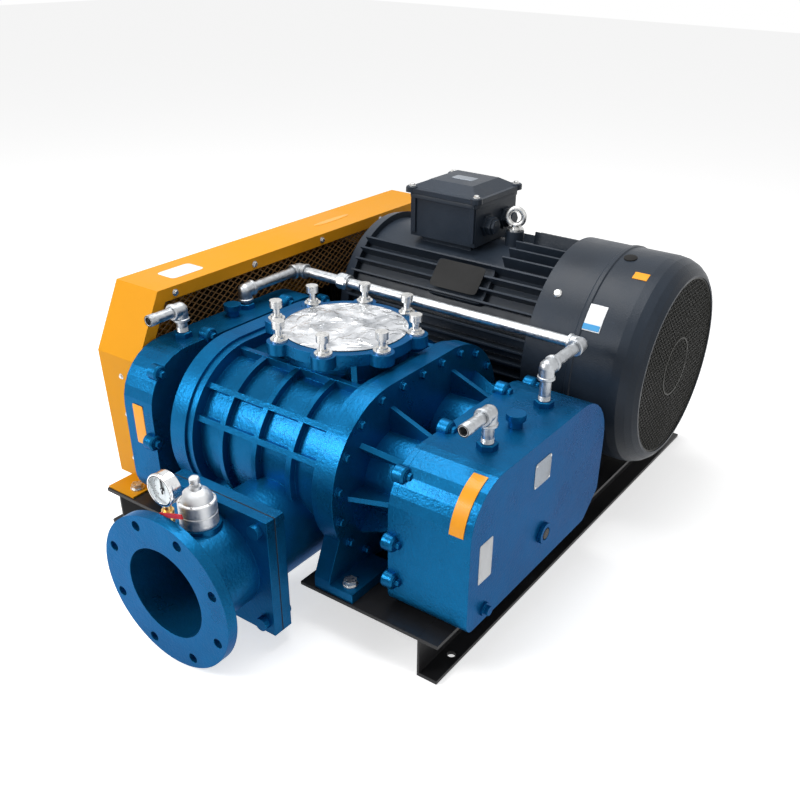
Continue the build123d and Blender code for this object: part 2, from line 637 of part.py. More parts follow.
with BuildPart() as gauge_pointer:
    rod("Y", GAUGE_X, GAUGE_Y - 7, GAUGE_Z, 4, 3)
    block(GAUGE_X - 1.5, GAUGE_X + 1.5, GAUGE_Y - 7, GAUGE_Y - 5, GAUGE_Z - 10, GAUGE_Z + 24)
    rod("Y", GAUGE_X, GAUGE_Y - 7, GAUGE_Z, 1.5 + RUNNING_CLEARANCE, 3, Mode.SUBTRACT)
gauge_pointer.part.label = "gauge_pointer"
export_step(gauge_pointer.part, "parts/gauge_pointer.step")

with BuildPart() as gauge_window:
    rod("Y", GAUGE_X, GAUGE_Y - 12.5, GAUGE_Z, 29, 2)
gauge_window.part.label = "gauge_window"
export_step(gauge_window.part, "parts/gauge_window.step")

# ---------------------------------------------------------------- oil fittings and cooling pipes
with BuildPart() as oil_sight_glass:
    rod("X", GEAR_CASE_X, MID_Y + 8, 194, 24, 9)
    rod("X", GEAR_CASE_X + 6, MID_Y + 8, 194, 15, 4, Mode.SUBTRACT)
oil_sight_glass.part.label = "oil_sight_glass"
export_step(oil_sight_glass.part, "parts/oil_sight_glass.step")

with BuildPart() as oil_drain_plug:
    rod("X", GEAR_CASE_X, -535, 140, 15, 5)
    rod("X", GEAR_CASE_X + 5, -535, 140, 10, 9)
oil_drain_plug.part.label = "oil_drain_plug"
export_step(oil_drain_plug.part, "parts/oil_drain_plug.step")

with BuildPart() as oil_fillers:
    for x, y, z in ((450, MID_Y - 10, 435), (-350, MID_Y, 478)):
        rod("Z", x, y, z, 15, 16)
        rod("Z", x, y, z + 16, 21, 14)
oil_fillers.part.label = "oil_fillers"
export_step(oil_fillers.part, "parts/oil_fillers.step")

TUBE_R = 12.5
SOCKET_R = 17
with BuildPart() as cooling_pipe_gear_near:
    rod("Z", 450, -430, 435, TUBE_R, 75)
    rod("Z", 450, -430, 435, SOCKET_R, 12)
    rod("Z", 450, -430, 484, SOCKET_R, 26)
    with Locations((450, -430, 510)):
        Sphere(SOCKET_R)
    rod("Y", 450, -456, 510, SOCKET_R, 26)
    rod("Y", 450, -522, 510, TUBE_R, 70)
    rod("Y", 450, -522, 510, 9.5, 60, Mode.SUBTRACT)
cooling_pipe_gear_near.part.label = "cooling_pipe_gear_near"
export_step(cooling_pipe_gear_near.part, "parts/cooling_pipe_gear_near.step")

with BuildPart() as cooling_pipe_drive_near:
    rod("Z", -350, -470, 478, TUBE_R, 62)
    rod("Z", -350, -470, 478, SOCKET_R, 12)
    rod("Z", -350, -470, 516, SOCKET_R, 26)
    with Locations((-350, -470, 542)):
        Sphere(SOCKET_R)
    rod("Y", -350, -496, 542, SOCKET_R, 26)
    rod("Y", -350, -562, 542, TUBE_R, 70)
    rod("Y", -350, -562, 542, 9.5, 60, Mode.SUBTRACT)
cooling_pipe_drive_near.part.label = "cooling_pipe_drive_near"
export_step(cooling_pipe_drive_near.part, "parts/cooling_pipe_drive_near.step")

with BuildPart() as cooling_pipe_crossover:
    for x, y, z in ((450, -200, 435), (-365, -250, 478)):
        rod("Z", x, y, z, TUBE_R, 522 - z)
        rod("Z", x, y, z, SOCKET_R, 12)
        rod("Z", x, y, 496, SOCKET_R, 26)
        rod("Y", x, y, 522, SOCKET_R, 26)
        rod("Y", x, y, 522, TUBE_R, -50 - y)
        rod("Y", x, -76, 522, SOCKET_R, 26)
        rod("X", min(x, x - 26 * x / abs(x)), -50, 522, SOCKET_R, 26)
        for yy in (y, -50):
            with Locations((x, yy, 522)):
                Sphere(SOCKET_R)
    rod("X", -365, -50, 522, TUBE_R, 815)
    rod("X", -228, -50, 522, 19, 34)
cooling_pipe_crossover.part.label = "cooling_pipe_crossover"
export_step(cooling_pipe_crossover.part, "parts/cooling_pipe_crossover.step")

# ---------------------------------------------------------------- belt drive and guard
with BuildPart() as blower_pulley:
    pulley(BLOWER_PULLEY_R, SHAFT_END_R, 58, DRIVE_Y, SHAFT_Z)
blower_pulley.part.label = "blower_pulley"
export_step(blower_pulley.part, "parts/blower_pulley.step")

with BuildPart() as motor_pulley:
    pulley(MOTOR_PULLEY_R, MOTOR_SHAFT_R, 62, MOTOR_Y, MOTOR_Z)
motor_pulley.part.label = "motor_pulley"
export_step(motor_pulley.part, "parts/motor_pulley.step")

with BuildPart() as v_belts:
    for g in range(GROOVES):
        middle = PULLEY_X + GROOVE_PITCH * (g - (GROOVES - 1) / 2)
        x0 = middle - GROOVE_W / 2 + BELT_GAP
        x1 = middle + GROOVE_W / 2 - BELT_GAP
        loop(-0.5, x0, x1)
        loop(BELT_GAP - GROOVE_D, x0, x1, Mode.SUBTRACT)
v_belts.part.label = "v_belts"
export_step(v_belts.part, "parts/v_belts.step")

with BuildPart() as belt_guard:
    plate_x(guard_outline(0), GUARD_X0, GUARD_X1)
    plate_x(guard_outline(SHEET), GUARD_X0 - 1, GUARD_X1 + 1, Mode.SUBTRACT)
    for x in (GUARD_X0, GUARD_X1 - SHEET):
        plate_x(guard_outline(0), x, x + SHEET)
        plate_x(guard_outline(30), x, x + SHEET, Mode.SUBTRACT)
    block(-490, -400, -640, -563, DECK_Z, DECK_Z + GUARD_FOOT_T)
    block(-490, -400, 560, 629, DECK_Z, DECK_Z + GUARD_FOOT_T)
    for x, y in GUARD_BOLTS:
        rod("Z", x, y, DECK_Z - 1, 9, 8, Mode.SUBTRACT)
belt_guard.part.label = "belt_guard"
export_step(belt_guard.part, "parts/belt_guard.step")

with BuildPart() as guard_mesh:
    lattice(guard_outline(14), GUARD_X0 + SHEET, 1.2, 62, 5)
    screen = guard_outline(14)
    screen = [(-555, 445)] + screen[1:5] + [(622, 445)]
    screen[1] = (-556, 448)
    screen[4] = (623, 448)
    lattice(screen, GUARD_X1 - SHEET - 2.4, 1.2, 62, 5)
guard_mesh.part.label = "guard_mesh"
export_step(guard_mesh.part, "parts/guard_mesh.step")

with BuildPart() as guard_bolts:
    for x, y in GUARD_BOLTS:
        bolt_z(x, y, DECK_Z + GUARD_FOOT_T, DECK_Z - DECK_T, 8, 24)
guard_bolts.part.label = "guard_bolts"
export_step(guard_bolts.part, "parts/guard_bolts.step")

# ---------------------------------------------------------------- motor
with BuildPart() as motor_frame:
    rod("X", FRAME_X0, MOTOR_Y, MOTOR_Z, FRAME_R, FRAME_X1 - FRAME_X0)
    for side in (-1, 1):
        for k in range(12):
            fin_at = 90 + side * (36 + 7.6 * k)
            rib(MOTOR_Y, MOTOR_Z, fin_at, FRAME_X0, FRAME_X1, FRAME_R - 6, FIN_R, FIN_R, 5)
        for k in range(3):
            fin_at = 90 + side * (12 + 8 * k)
            rib(MOTOR_Y, MOTOR_Z, fin_at, EYE_X + 34, FRAME_X1, FRAME_R - 6, FIN_R, FIN_R, 5)
    for x in FOOT_X:
        for side in (-1, 1):
            pad = [(-258, 100), (-258, 124), (-200, 124), (-188, 262), (-120, 207), (-160, 126), (-160, 100)]
            plate_x([(MOTOR_Y + side * -y, z) for y, z in pad], x - 42, x + 42)
    block(BOX_X0 + 24, BOX_X1 - 24, MOTOR_Y - 78, MOTOR_Y + 78, MOTOR_Z + 190, BOX_Z0)
    rod("Z", EYE_X, MOTOR_Y, MOTOR_Z + 200, 24, 52)
    rod("X", FRAME_X0, MOTOR_Y, MOTOR_Z, CORE_R, FRAME_X1 - FRAME_X0, Mode.SUBTRACT)
    for x, y in MOTOR_BOLTS:
        rod("Z", x, y, DECK_Z - 1, 12, 60, Mode.SUBTRACT)
motor_frame.part.label = "motor_frame"
export_step(motor_frame.part, "parts/motor_frame.step")

with BuildPart() as motor_drive_shield:
    turned([(-352, 40), (-352, 96), (-330, 118), (-322, 224), (-290, 232), (-290, 40)], MOTOR_Y, MOTOR_Z)
    rod("X", -324, MOTOR_Y, MOTOR_Z, 70, 35, Mode.SUBTRACT)
motor_drive_shield.part.label = "motor_drive_shield"
export_step(motor_drive_shield.part, "parts/motor_drive_shield.step")

with BuildPart() as motor_fan_shield:
    rod("X", FRAME_X1, MOTOR_Y, MOTOR_Z, 226, 30)
    for k in range(4):
        rib(MOTOR_Y, MOTOR_Z, 45 + 90 * k, FRAME_X1, FRAME_X1 + 24, 210, COWL_R - 3.5, COWL_R - 3.5, 30)
    rod("X", FRAME_X1, MOTOR_Y, MOTOR_Z, 60, 26, Mode.SUBTRACT)
    rod("X", FRAME_X1, MOTOR_Y, MOTOR_Z, FAN_END_R + 1, 40, Mode.SUBTRACT)
motor_fan_shield.part.label = "motor_fan_shield"
export_step(motor_fan_shield.part, "parts/motor_fan_shield.step")

with BuildPart() as stator_core:
    rod("X", -180, MOTOR_Y, MOTOR_Z, CORE_R, 370)
    rod("X", -180, MOTOR_Y, MOTOR_Z, STATOR_BORE_R, 370, Mode.SUBTRACT)
stator_core.part.label = "stator_core"
export_step(stator_core.part, "parts/stator_core.step")

with BuildPart() as motor_bearings:
    rod("X", -324, MOTOR_Y, MOTOR_Z, 70, 30)
    rod("X", -324, MOTOR_Y, MOTOR_Z, MOTOR_SHAFT_R + RUNNING_CLEARANCE, 30, Mode.SUBTRACT)
    rod("X", FRAME_X1 + 2, MOTOR_Y, MOTOR_Z, 60, 24)
    rod("X", FRAME_X1 + 2, MOTOR_Y, MOTOR_Z, FAN_END_R + RUNNING_CLEARANCE, 24, Mode.SUBTRACT)
motor_bearings.part.label = "motor_bearings"
export_step(motor_bearings.part, "parts/motor_bearings.step")

with BuildPart() as motor_rotor:
    rod("X", -505, MOTOR_Y, MOTOR_Z, MOTOR_SHAFT_R, 705)
    rod("X", -180, MOTOR_Y, MOTOR_Z, STATOR_BORE_R - 1, 370)
    rod("X", 190, MOTOR_Y, MOTOR_Z, FAN_END_R, 255)
motor_rotor.part.label = "motor_rotor"
export_step(motor_rotor.part, "parts/motor_rotor.step")

with BuildPart() as cooling_fan:
    rod("X", 362, MOTOR_Y, MOTOR_Z, 55, 80)
    rod("X", 362, MOTOR_Y, MOTOR_Z, 120, 6)
    for k in range(9):
        rib(MOTOR_Y, MOTOR_Z, 40 * k, 362, 440, 50, 205, 205, 6)
    rod("X", 361, MOTOR_Y, MOTOR_Z, FAN_END_R, 84, Mode.SUBTRACT)
cooling_fan.part.label = "cooling_fan"
export_step(cooling_fan.part, "parts/cooling_fan.step")

with BuildPart() as fan_cowl:
    skin = [(COWL_X0, COWL_R), (388, COWL_R), (391, COWL_R + 3), (401, COWL_R + 3), (404, COWL_R)]
    skin += [(500, COWL_R), (522, COWL_R - 3), (542, COWL_R - 11), (556, COWL_R - 22)]
    skin += [(COWL_X1, COWL_R - 35), (COWL_X1, GRILLE_R - 4)]
    skin += [(COWL_X1 - 3, GRILLE_R - 4), (COWL_X1 - 3, GRILLE_R + 1), (553, COWL_R - 24), (540, COWL_R - 14)]
    skin += [(521, COWL_R - 6), (500, COWL_R - 3), (COWL_X0, COWL_R - 3)]
    turned(skin, MOTOR_Y, MOTOR_Z)
fan_cowl.part.label = "fan_cowl"
export_step(fan_cowl.part, "parts/fan_cowl.step")

with BuildPart() as fan_grille:
    x0 = COWL_X1 - 3
    rod("X", x0 - 2, MOTOR_Y, MOTOR_Z, GRILLE_R, 2)
    rod("X", x0 - 2, MOTOR_Y, MOTOR_Z, GRILLE_R - 8, 2, Mode.SUBTRACT)
    for k in range(-5, 6):
        half = sqrt((GRILLE_R - 4) ** 2 - (37 * k) ** 2)
        block(x0 - 2, x0, MOTOR_Y + 37 * k - 2, MOTOR_Y + 37 * k + 2, MOTOR_Z - half, MOTOR_Z + half)
        block(x0 - 4, x0 - 2, MOTOR_Y - half, MOTOR_Y + half, MOTOR_Z + 37 * k - 2, MOTOR_Z + 37 * k + 2)
fan_grille.part.label = "fan_grille"
export_step(fan_grille.part, "parts/fan_grille.step")

with BuildPart() as terminal_box:
    block(BOX_X0, BOX_X1, MOTOR_Y - BOX_HALF, MOTOR_Y + BOX_HALF, BOX_Z0, BOX_Z1)
    block(BOX_X0 + 6, BOX_X1 - 6, MOTOR_Y - 94, MOTOR_Y + 94, BOX_Z0 + 8, BOX_Z1 + 1, Mode.SUBTRACT)
terminal_box.part.label = "terminal_box"
export_step(terminal_box.part, "parts/terminal_box.step")

with BuildPart() as terminal_lid:
    block(BOX_X0 - 10, BOX_X1 + 10, MOTOR_Y - 110, MOTOR_Y + 110, BOX_Z1, BOX_Z1 + 12)
    with BuildSketch(Plane.XY.offset(BOX_Z1 + 12)):
        with Locations(((BOX_X0 + BOX_X1) / 2, MOTOR_Y)):
            Rectangle(200, 200)
    with BuildSketch(Plane.XY.offset(BOX_Z1 + 32)):
        with Locations(((BOX_X0 + BOX_X1) / 2, MOTOR_Y)):
            Rectangle(128, 128)
    loft()
terminal_lid.part.label = "terminal_lid"
export_step(terminal_lid.part, "parts/terminal_lid.step")

with BuildPart() as lifting_eye:
    rod("Z", EYE_X, MOTOR_Y, MOTOR_Z + 252, 22, 6)
    rod("Z", EYE_X, MOTOR_Y, MOTOR_Z + 256, 11, 12)
    with Locations(Plane((EYE_X, MOTOR_Y, MOTOR_Z + 286), z_dir=(0.4, -0.9, 0))):
        Torus(21, 7)
lifting_eye.part.label = "lifting_eye"
export_step(lifting_eye.part, "parts/lifting_eye.step")

with BuildPart() as motor_foot_bolts:
    for x, y in MOTOR_BOLTS:
        bolt_z(x, y, DECK_Z + 24, DECK_Z - DECK_T, 11, 34)
motor_foot_bolts.part.label = "motor_foot_bolts"
export_step(motor_foot_bolts.part, "parts/motor_foot_bolts.step")

with BuildPart() as blower_foot_bolts:
    for x, y in FOOT_BOLTS:
        bolt_z(x, y, DECK_Z + 22, DECK_Z - DECK_T, 8, 26)
blower_foot_bolts.part.label = "blower_foot_bolts"
export_step(blower_foot_bolts.part, "parts/blower_foot_bolts.step")
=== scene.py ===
import json
import math
import bmesh
import bpy
import numpy as np
from mathutils import Matrix, Vector


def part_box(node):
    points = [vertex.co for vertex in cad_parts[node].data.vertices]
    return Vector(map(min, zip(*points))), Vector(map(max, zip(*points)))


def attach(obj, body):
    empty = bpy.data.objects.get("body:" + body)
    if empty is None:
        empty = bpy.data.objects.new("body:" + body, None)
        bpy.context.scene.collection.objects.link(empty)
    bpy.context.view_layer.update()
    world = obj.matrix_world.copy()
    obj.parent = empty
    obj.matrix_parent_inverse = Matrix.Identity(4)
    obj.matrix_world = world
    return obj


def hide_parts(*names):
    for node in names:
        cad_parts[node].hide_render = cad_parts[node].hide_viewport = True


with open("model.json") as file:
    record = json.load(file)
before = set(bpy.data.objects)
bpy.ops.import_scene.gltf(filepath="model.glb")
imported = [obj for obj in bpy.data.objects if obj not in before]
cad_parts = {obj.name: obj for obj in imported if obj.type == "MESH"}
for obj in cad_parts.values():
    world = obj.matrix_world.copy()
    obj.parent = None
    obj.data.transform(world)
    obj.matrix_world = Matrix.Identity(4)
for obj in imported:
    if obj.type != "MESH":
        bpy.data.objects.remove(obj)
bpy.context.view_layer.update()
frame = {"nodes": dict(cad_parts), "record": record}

BODY = "package"
NODE_SLOT = {s["node"]: s["material_slot"] for s in frame["record"]["subparts"]}
X = np.array([1.0, 0.0, 0.0])
Y = np.array([0.0, 1.0, 0.0])
Z = np.array([0.0, 0.0, 1.0])


# ------------------------------------------------------------------ camera
def aim_camera():
    """Camera axes from azimuth a, elevation e and roll r: back = (sin a cos e, -cos a cos e, sin e)."""
    a, e, r = (math.radians(v) for v in (33.79, 30.91, 1.49))
    back = Vector((math.sin(a) * math.cos(e), -math.cos(a) * math.cos(e), math.sin(e)))
    right = Vector((math.cos(a), math.sin(a), 0))
    up = back.cross(right)
    across = math.cos(r) * right + math.sin(r) * up
    upward = -math.sin(r) * right + math.cos(r) * up
    data = bpy.data.cameras.new("camera")
    camera = bpy.data.objects.new("camera", data)
    bpy.context.scene.collection.objects.link(camera)
    turn = Matrix((across, upward, back)).transposed().to_4x4()
    camera.matrix_world = Matrix.Translation((1.22297, -1.78225, 1.30794)) @ turn
    data.sensor_width = 36
    data.lens = 41.2
    data.shift_x = -0.0376
    data.shift_y = 0.089
    data.clip_end = 60
    bpy.context.scene.camera = camera


aim_camera()


# ------------------------------------------------------------------ shader groups
def add_node(tree, kind, values=None, links=None, **settings):
    """One shader node with its settings, socket values and incoming links."""
    node = tree.nodes.new(kind)
    for key, value in settings.items():
        setattr(node, key, value)
    for key, value in (values or {}).items():
        node.inputs[key].default_value = value
    for key, source in (links or {}).items():
        tree.links.new(source, node.inputs[key])
    return node


def math_node(tree, operation, first, second, clamp=False):
    """One math node; each of its two values is a link or a number."""
    node = add_node(tree, "ShaderNodeMath", operation=operation, use_clamp=clamp)
    for place, value in enumerate((first, second)):
        if isinstance(value, (int, float)):
            node.inputs[place].default_value = value
        else:
            tree.links.new(value, node.inputs[place])
    return node


def colour_mix(tree, factor, first, second):
    """One colour mix node; each value is a link or a constant."""
    node = add_node(tree, "ShaderNodeMix", data_type="RGBA")
    for place, value in ((0, factor), (6, first), (7, second)):
        if isinstance(value, bpy.types.NodeSocket):
            tree.links.new(value, node.inputs[place])
        else:
            node.inputs[place].default_value = value
    return node


def new_group(name, inputs, outputs):
    """Empty shader group with (name, kind, default) inputs and (name, kind) outputs."""
    tree = bpy.data.node_groups.new(name, "ShaderNodeTree")
    for label, kind, default in inputs:
        socket = tree.interface.new_socket(label, in_out="INPUT", socket_type=kind)
        socket.default_value = default
    for label, kind in outputs:
        tree.interface.new_socket(label, in_out="OUTPUT", socket_type=kind)
    return tree, tree.nodes.new("NodeGroupInput"), tree.nodes.new("NodeGroupOutput")


FLOAT = "NodeSocketFloat"
COLOUR = "NodeSocketColor"


def build_cast_skin():
    """Height of a painted casting: slow waves and a finer grain added together; the grain's scale makes it sand-cast
    grain or fine orange peel.
    """
    tree, gin, gout = new_group("cast_skin", [("Scale", FLOAT, 60.0), ("Waves", FLOAT, 0.5), ("Grain", FLOAT, 0.4)],
                                [("Height", FLOAT)])
    place = add_node(tree, "ShaderNodeTexCoord")
    waves = add_node(tree, "ShaderNodeTexNoise", {"Scale": 14.0, "Detail": 2.0}, {"Vector": place.outputs["Object"]})
    grain = add_node(tree, "ShaderNodeTexNoise", {"Detail": 5.0, "Roughness": 0.6},
                     {"Vector": place.outputs["Object"], "Scale": gin.outputs["Scale"]})
    low = math_node(tree, "MULTIPLY", waves.outputs["Fac"], gin.outputs["Waves"])
    high = math_node(tree, "MULTIPLY", grain.outputs["Fac"], gin.outputs["Grain"])
    total = math_node(tree, "ADD", low.outputs[0], high.outputs[0])
    tree.links.new(total.outputs[0], gout.inputs["Height"])
    return tree


def build_paint_tone():
    """Colour that drifts darker and lighter in broad patches; the mask follows the patches."""
    colours = [("Colour", COLOUR, (0.5, 0.5, 0.5, 1)), ("Dark", COLOUR, (0, 0, 0, 1))]
    colours += [("Light", COLOUR, (1, 1, 1, 1))]
    amounts = [("Patch", FLOAT, 5.0), ("Amount", FLOAT, 0.3)]
    tree, gin, gout = new_group("paint_tone", colours + amounts, [("Colour", COLOUR), ("Mask", FLOAT)])
    place = add_node(tree, "ShaderNodeTexCoord")
    patch = add_node(tree, "ShaderNodeTexNoise", {"Detail": 6.0, "Roughness": 0.65},
                     {"Vector": place.outputs["Object"], "Scale": gin.outputs["Patch"]})
    ramp = add_node(tree, "ShaderNodeMapRange", {"From Min": 0.35, "From Max": 0.65}, {"Value": patch.outputs["Fac"]})
    swing = colour_mix(tree, ramp.outputs[0], gin.outputs["Dark"], gin.outputs["Light"])
    blend = colour_mix(tree, gin.outputs["Amount"], gin.outputs["Colour"], swing.outputs[2])
    tree.links.new(blend.outputs[2], gout.inputs["Colour"])
    tree.links.new(ramp.outputs[0], gout.inputs["Mask"])
    return tree


def build_scuffs():
    """Mask of thin scratches and specks: stretched noise kept only near its peaks."""
    tree, gin, gout = new_group("scuffs", [("Scale", FLOAT, 40.0), ("Cut", FLOAT, 0.66)], [("Mask", FLOAT)])
    place = add_node(tree, "ShaderNodeTexCoord")
    shape = add_node(tree, "ShaderNodeMapping", {"Scale": (1.0, 1.0, 4.0), "Rotation": (0.3, 0.5, 0.2)},
                     {"Vector": place.outputs["Object"]})
    noise = add_node(tree, "ShaderNodeTexNoise", {"Detail": 8.0, "Roughness": 0.7},
                     {"Vector": shape.outputs[0], "Scale": gin.outputs["Scale"]})
    above = math_node(tree, "SUBTRACT", noise.outputs["Fac"], gin.outputs["Cut"])
    mask = math_node(tree, "MULTIPLY", above.outputs[0], 14.0, clamp=True)
    tree.links.new(mask.outputs[0], gout.inputs["Mask"])
    return tree


def build_spangle():
    """Zinc crystals: a cell pattern whose cells differ in shade."""
    tree, gin, gout = new_group("spangle", [("Scale", FLOAT, 120.0)], [("Shade", FLOAT)])
    place = add_node(tree, "ShaderNodeTexCoord")
    cells = add_node(tree, "ShaderNodeTexVoronoi", None,
                     {"Vector": place.outputs["Object"], "Scale": gin.outputs["Scale"]})
    grey = add_node(tree, "ShaderNodeRGBToBW", None, {"Color": cells.outputs["Color"]})
    tree.links.new(grey.outputs[0], gout.inputs["Shade"])
    return tree


CAST_SKIN = build_cast_skin()
PAINT_TONE = build_paint_tone()
SCUFFS = build_scuffs()
SPANGLE = build_spangle()


def use_group(tree, group, values=None, links=None):
    """A placed shader group."""
    node = tree.nodes.new("ShaderNodeGroup")
    node.node_tree = group
    for key, value in (values or {}).items():
        node.inputs[key].default_value = value
    for key, source in (links or {}).items():
        tree.links.new(source, node.inputs[key])
    return node


def shade(colour, factor):
    """A colour multiplied by a factor, with full alpha."""
    return tuple(min(1.0, c * factor) for c in colour[:3]) + (1.0,)


def new_material(name):
    """Material with an empty Principled shader; returns material, tree and shader."""
    material = bpy.data.materials.new(name)
    material.use_nodes = True
    tree = material.node_tree
    return material, tree, tree.nodes["Principled BSDF"]


def enamel(name, colour, rough, coat, scale, waves, grain, depth, patch=5.0, amount=0.35, edge=0.0016,
           scuff_colour=None, light=1.5, dark=0.6, sheen=0.2, metallic=0.0, tint=(1, 1, 1, 1)):
    """Paint over metal: drifting tone, cast grain in the normal, softened edges and light scuffs."""
    material, tree, shader = new_material(name)
    shades = {"Colour": shade(colour, 1), "Dark": shade(colour, dark), "Light": shade(colour, light)}
    tone = use_group(tree, PAINT_TONE, {**shades, "Patch": patch, "Amount": amount})
    marks = use_group(tree, SCUFFS, {"Scale": 38.0, "Cut": 0.66})
    worn = colour_mix(tree, marks.outputs["Mask"], tone.outputs["Colour"], scuff_colour or shade(colour, 1.9))
    tree.links.new(worn.outputs[2], shader.inputs["Base Color"])
    gloss = add_node(tree, "ShaderNodeMapRange", {"To Min": rough * 0.8, "To Max": rough * 1.25},
                     {"Value": tone.outputs["Mask"]})
    tree.links.new(gloss.outputs[0], shader.inputs["Roughness"])
    skin = use_group(tree, CAST_SKIN, {"Scale": scale, "Waves": waves, "Grain": grain})
    soft = add_node(tree, "ShaderNodeBevel", {"Radius": edge}, samples=4)
    bump = add_node(tree, "ShaderNodeBump", {"Strength": 1.0, "Distance": depth},
                    {"Height": skin.outputs["Height"], "Normal": soft.outputs[0]})
    tree.links.new(bump.outputs[0], shader.inputs["Normal"])
    shader.inputs["Coat Weight"].default_value = coat
    shader.inputs["Coat Roughness"].default_value = 0.14
    shader.inputs["Specular IOR Level"].default_value = sheen
    shader.inputs["Metallic"].default_value = metallic
    shader.inputs["Specular Tint"].default_value = tint
    return material


def metal(name, colour, rough, spangle=120.0, contrast=0.3, depth=0.0002, grain=260.0, edge=0.0006):
    """Bare or plated metal: crystal shade in colour and gloss, fine grain in the normal."""
    material, tree, shader = new_material(name)
    cells = use_group(tree, SPANGLE, {"Scale": spangle})
    tone = colour_mix(tree, cells.outputs["Shade"], shade(colour, 1 - contrast), shade(colour, 1 + contrast * 0.5))
    tree.links.new(tone.outputs[2], shader.inputs["Base Color"])
    gloss = add_node(tree, "ShaderNodeMapRange", {"To Min": rough * 0.75, "To Max": rough * 1.35},
                     {"Value": cells.outputs["Shade"]})
    tree.links.new(gloss.outputs[0], shader.inputs["Roughness"])
    skin = use_group(tree, CAST_SKIN, {"Scale": grain, "Waves": 0.2, "Grain": 0.8})
    soft = add_node(tree, "ShaderNodeBevel", {"Radius": edge}, samples=4)
    bump = add_node(tree, "ShaderNodeBump", {"Strength": 0.6, "Distance": depth},
                    {"Height": skin.outputs["Height"], "Normal": soft.outputs[0]})
    tree.links.new(bump.outputs[0], shader.inputs["Normal"])
    shader.inputs["Metallic"].default_value = 1.0
    return material


def crumpled_film():
    """Aluminium film: creases where two swirling noises cross their middle, over a base colour banded darker and
    lighter as painted reflections.
    """
    material, tree, shader = new_material("crumpled_film")
    place = add_node(tree, "ShaderNodeTexCoord")
    warp = add_node(tree, "ShaderNodeTexNoise", {"Scale": 9.0, "Detail": 3.0}, {"Vector": place.outputs["Object"]})
    bent = add_node(tree, "ShaderNodeMix", {0: 0.12}, {4: place.outputs["Object"], 5: warp.outputs["Color"]},
                    data_type="VECTOR")
    height = None
    for scale, part in ((6.0, 1.0), (15.0, 0.35)):
        swirl = add_node(tree, "ShaderNodeTexNoise", {"Scale": scale, "Detail": 2.0, "Distortion": 1.6},
                         {"Vector": bent.outputs[1]})
        middle = math_node(tree, "SUBTRACT", swirl.outputs["Fac"], 0.5)
        crease = add_node(tree, "ShaderNodeMath", None, {0: middle.outputs[0]}, operation="ABSOLUTE")
        layer = math_node(tree, "MULTIPLY", crease.outputs[0], part)
        if height:
            layer = math_node(tree, "ADD", height.outputs[0], layer.outputs[0])
        height = layer
    bump = add_node(tree, "ShaderNodeBump", {"Strength": 0.6, "Distance": 0.035}, {"Height": height.outputs[0]})
    tree.links.new(bump.outputs[0], shader.inputs["Normal"])
    tone = add_node(tree, "ShaderNodeMapRange", {"To Min": 0.16, "To Max": 0.34}, {"Value": warp.outputs["Fac"]})
    tree.links.new(tone.outputs[0], shader.inputs["Roughness"])
    # Painted reflections: the base colour swings between dark and bright grey in noise bands, standing in for the
    # varied reflections of crumpled foil.
    painted_reflection_noise = add_node(tree, "ShaderNodeTexNoise", {"Scale": 7.0, "Detail": 3.0, "Distortion": 2.0},
                     {"Vector": place.outputs["Object"]})
    painted_reflection_bands = add_node(tree, "ShaderNodeMapRange", {"From Min": 0.38, "From Max": 0.6}, {"Value": painted_reflection_noise.outputs["Fac"]})
    colour = colour_mix(tree, painted_reflection_bands.outputs[0], (0.42, 0.44, 0.47, 1), (0.88, 0.9, 0.93, 1))
    tree.links.new(colour.outputs[2], shader.inputs["Base Color"])
    shader.inputs["Metallic"].default_value = 1.0
    return material


def clear_glass():
    """Thin clear window."""
    material, tree, shader = new_material("gauge_glass")
    shader.inputs["Base Color"].default_value = (0.95, 0.98, 1.0, 1)
    shader.inputs["Transmission Weight"].default_value = 1.0
    shader.inputs["Roughness"].default_value = 0.02
    shader.inputs["IOR"].default_value = 1.1
    return material


def flat_print(name, colour, dark=0.9):
    """Even satin surface of a label."""
    return enamel(name, colour, 0.35, 0.2, 200.0, 0.1, 0.1, 0.0001, light=1.1, dark=dark)


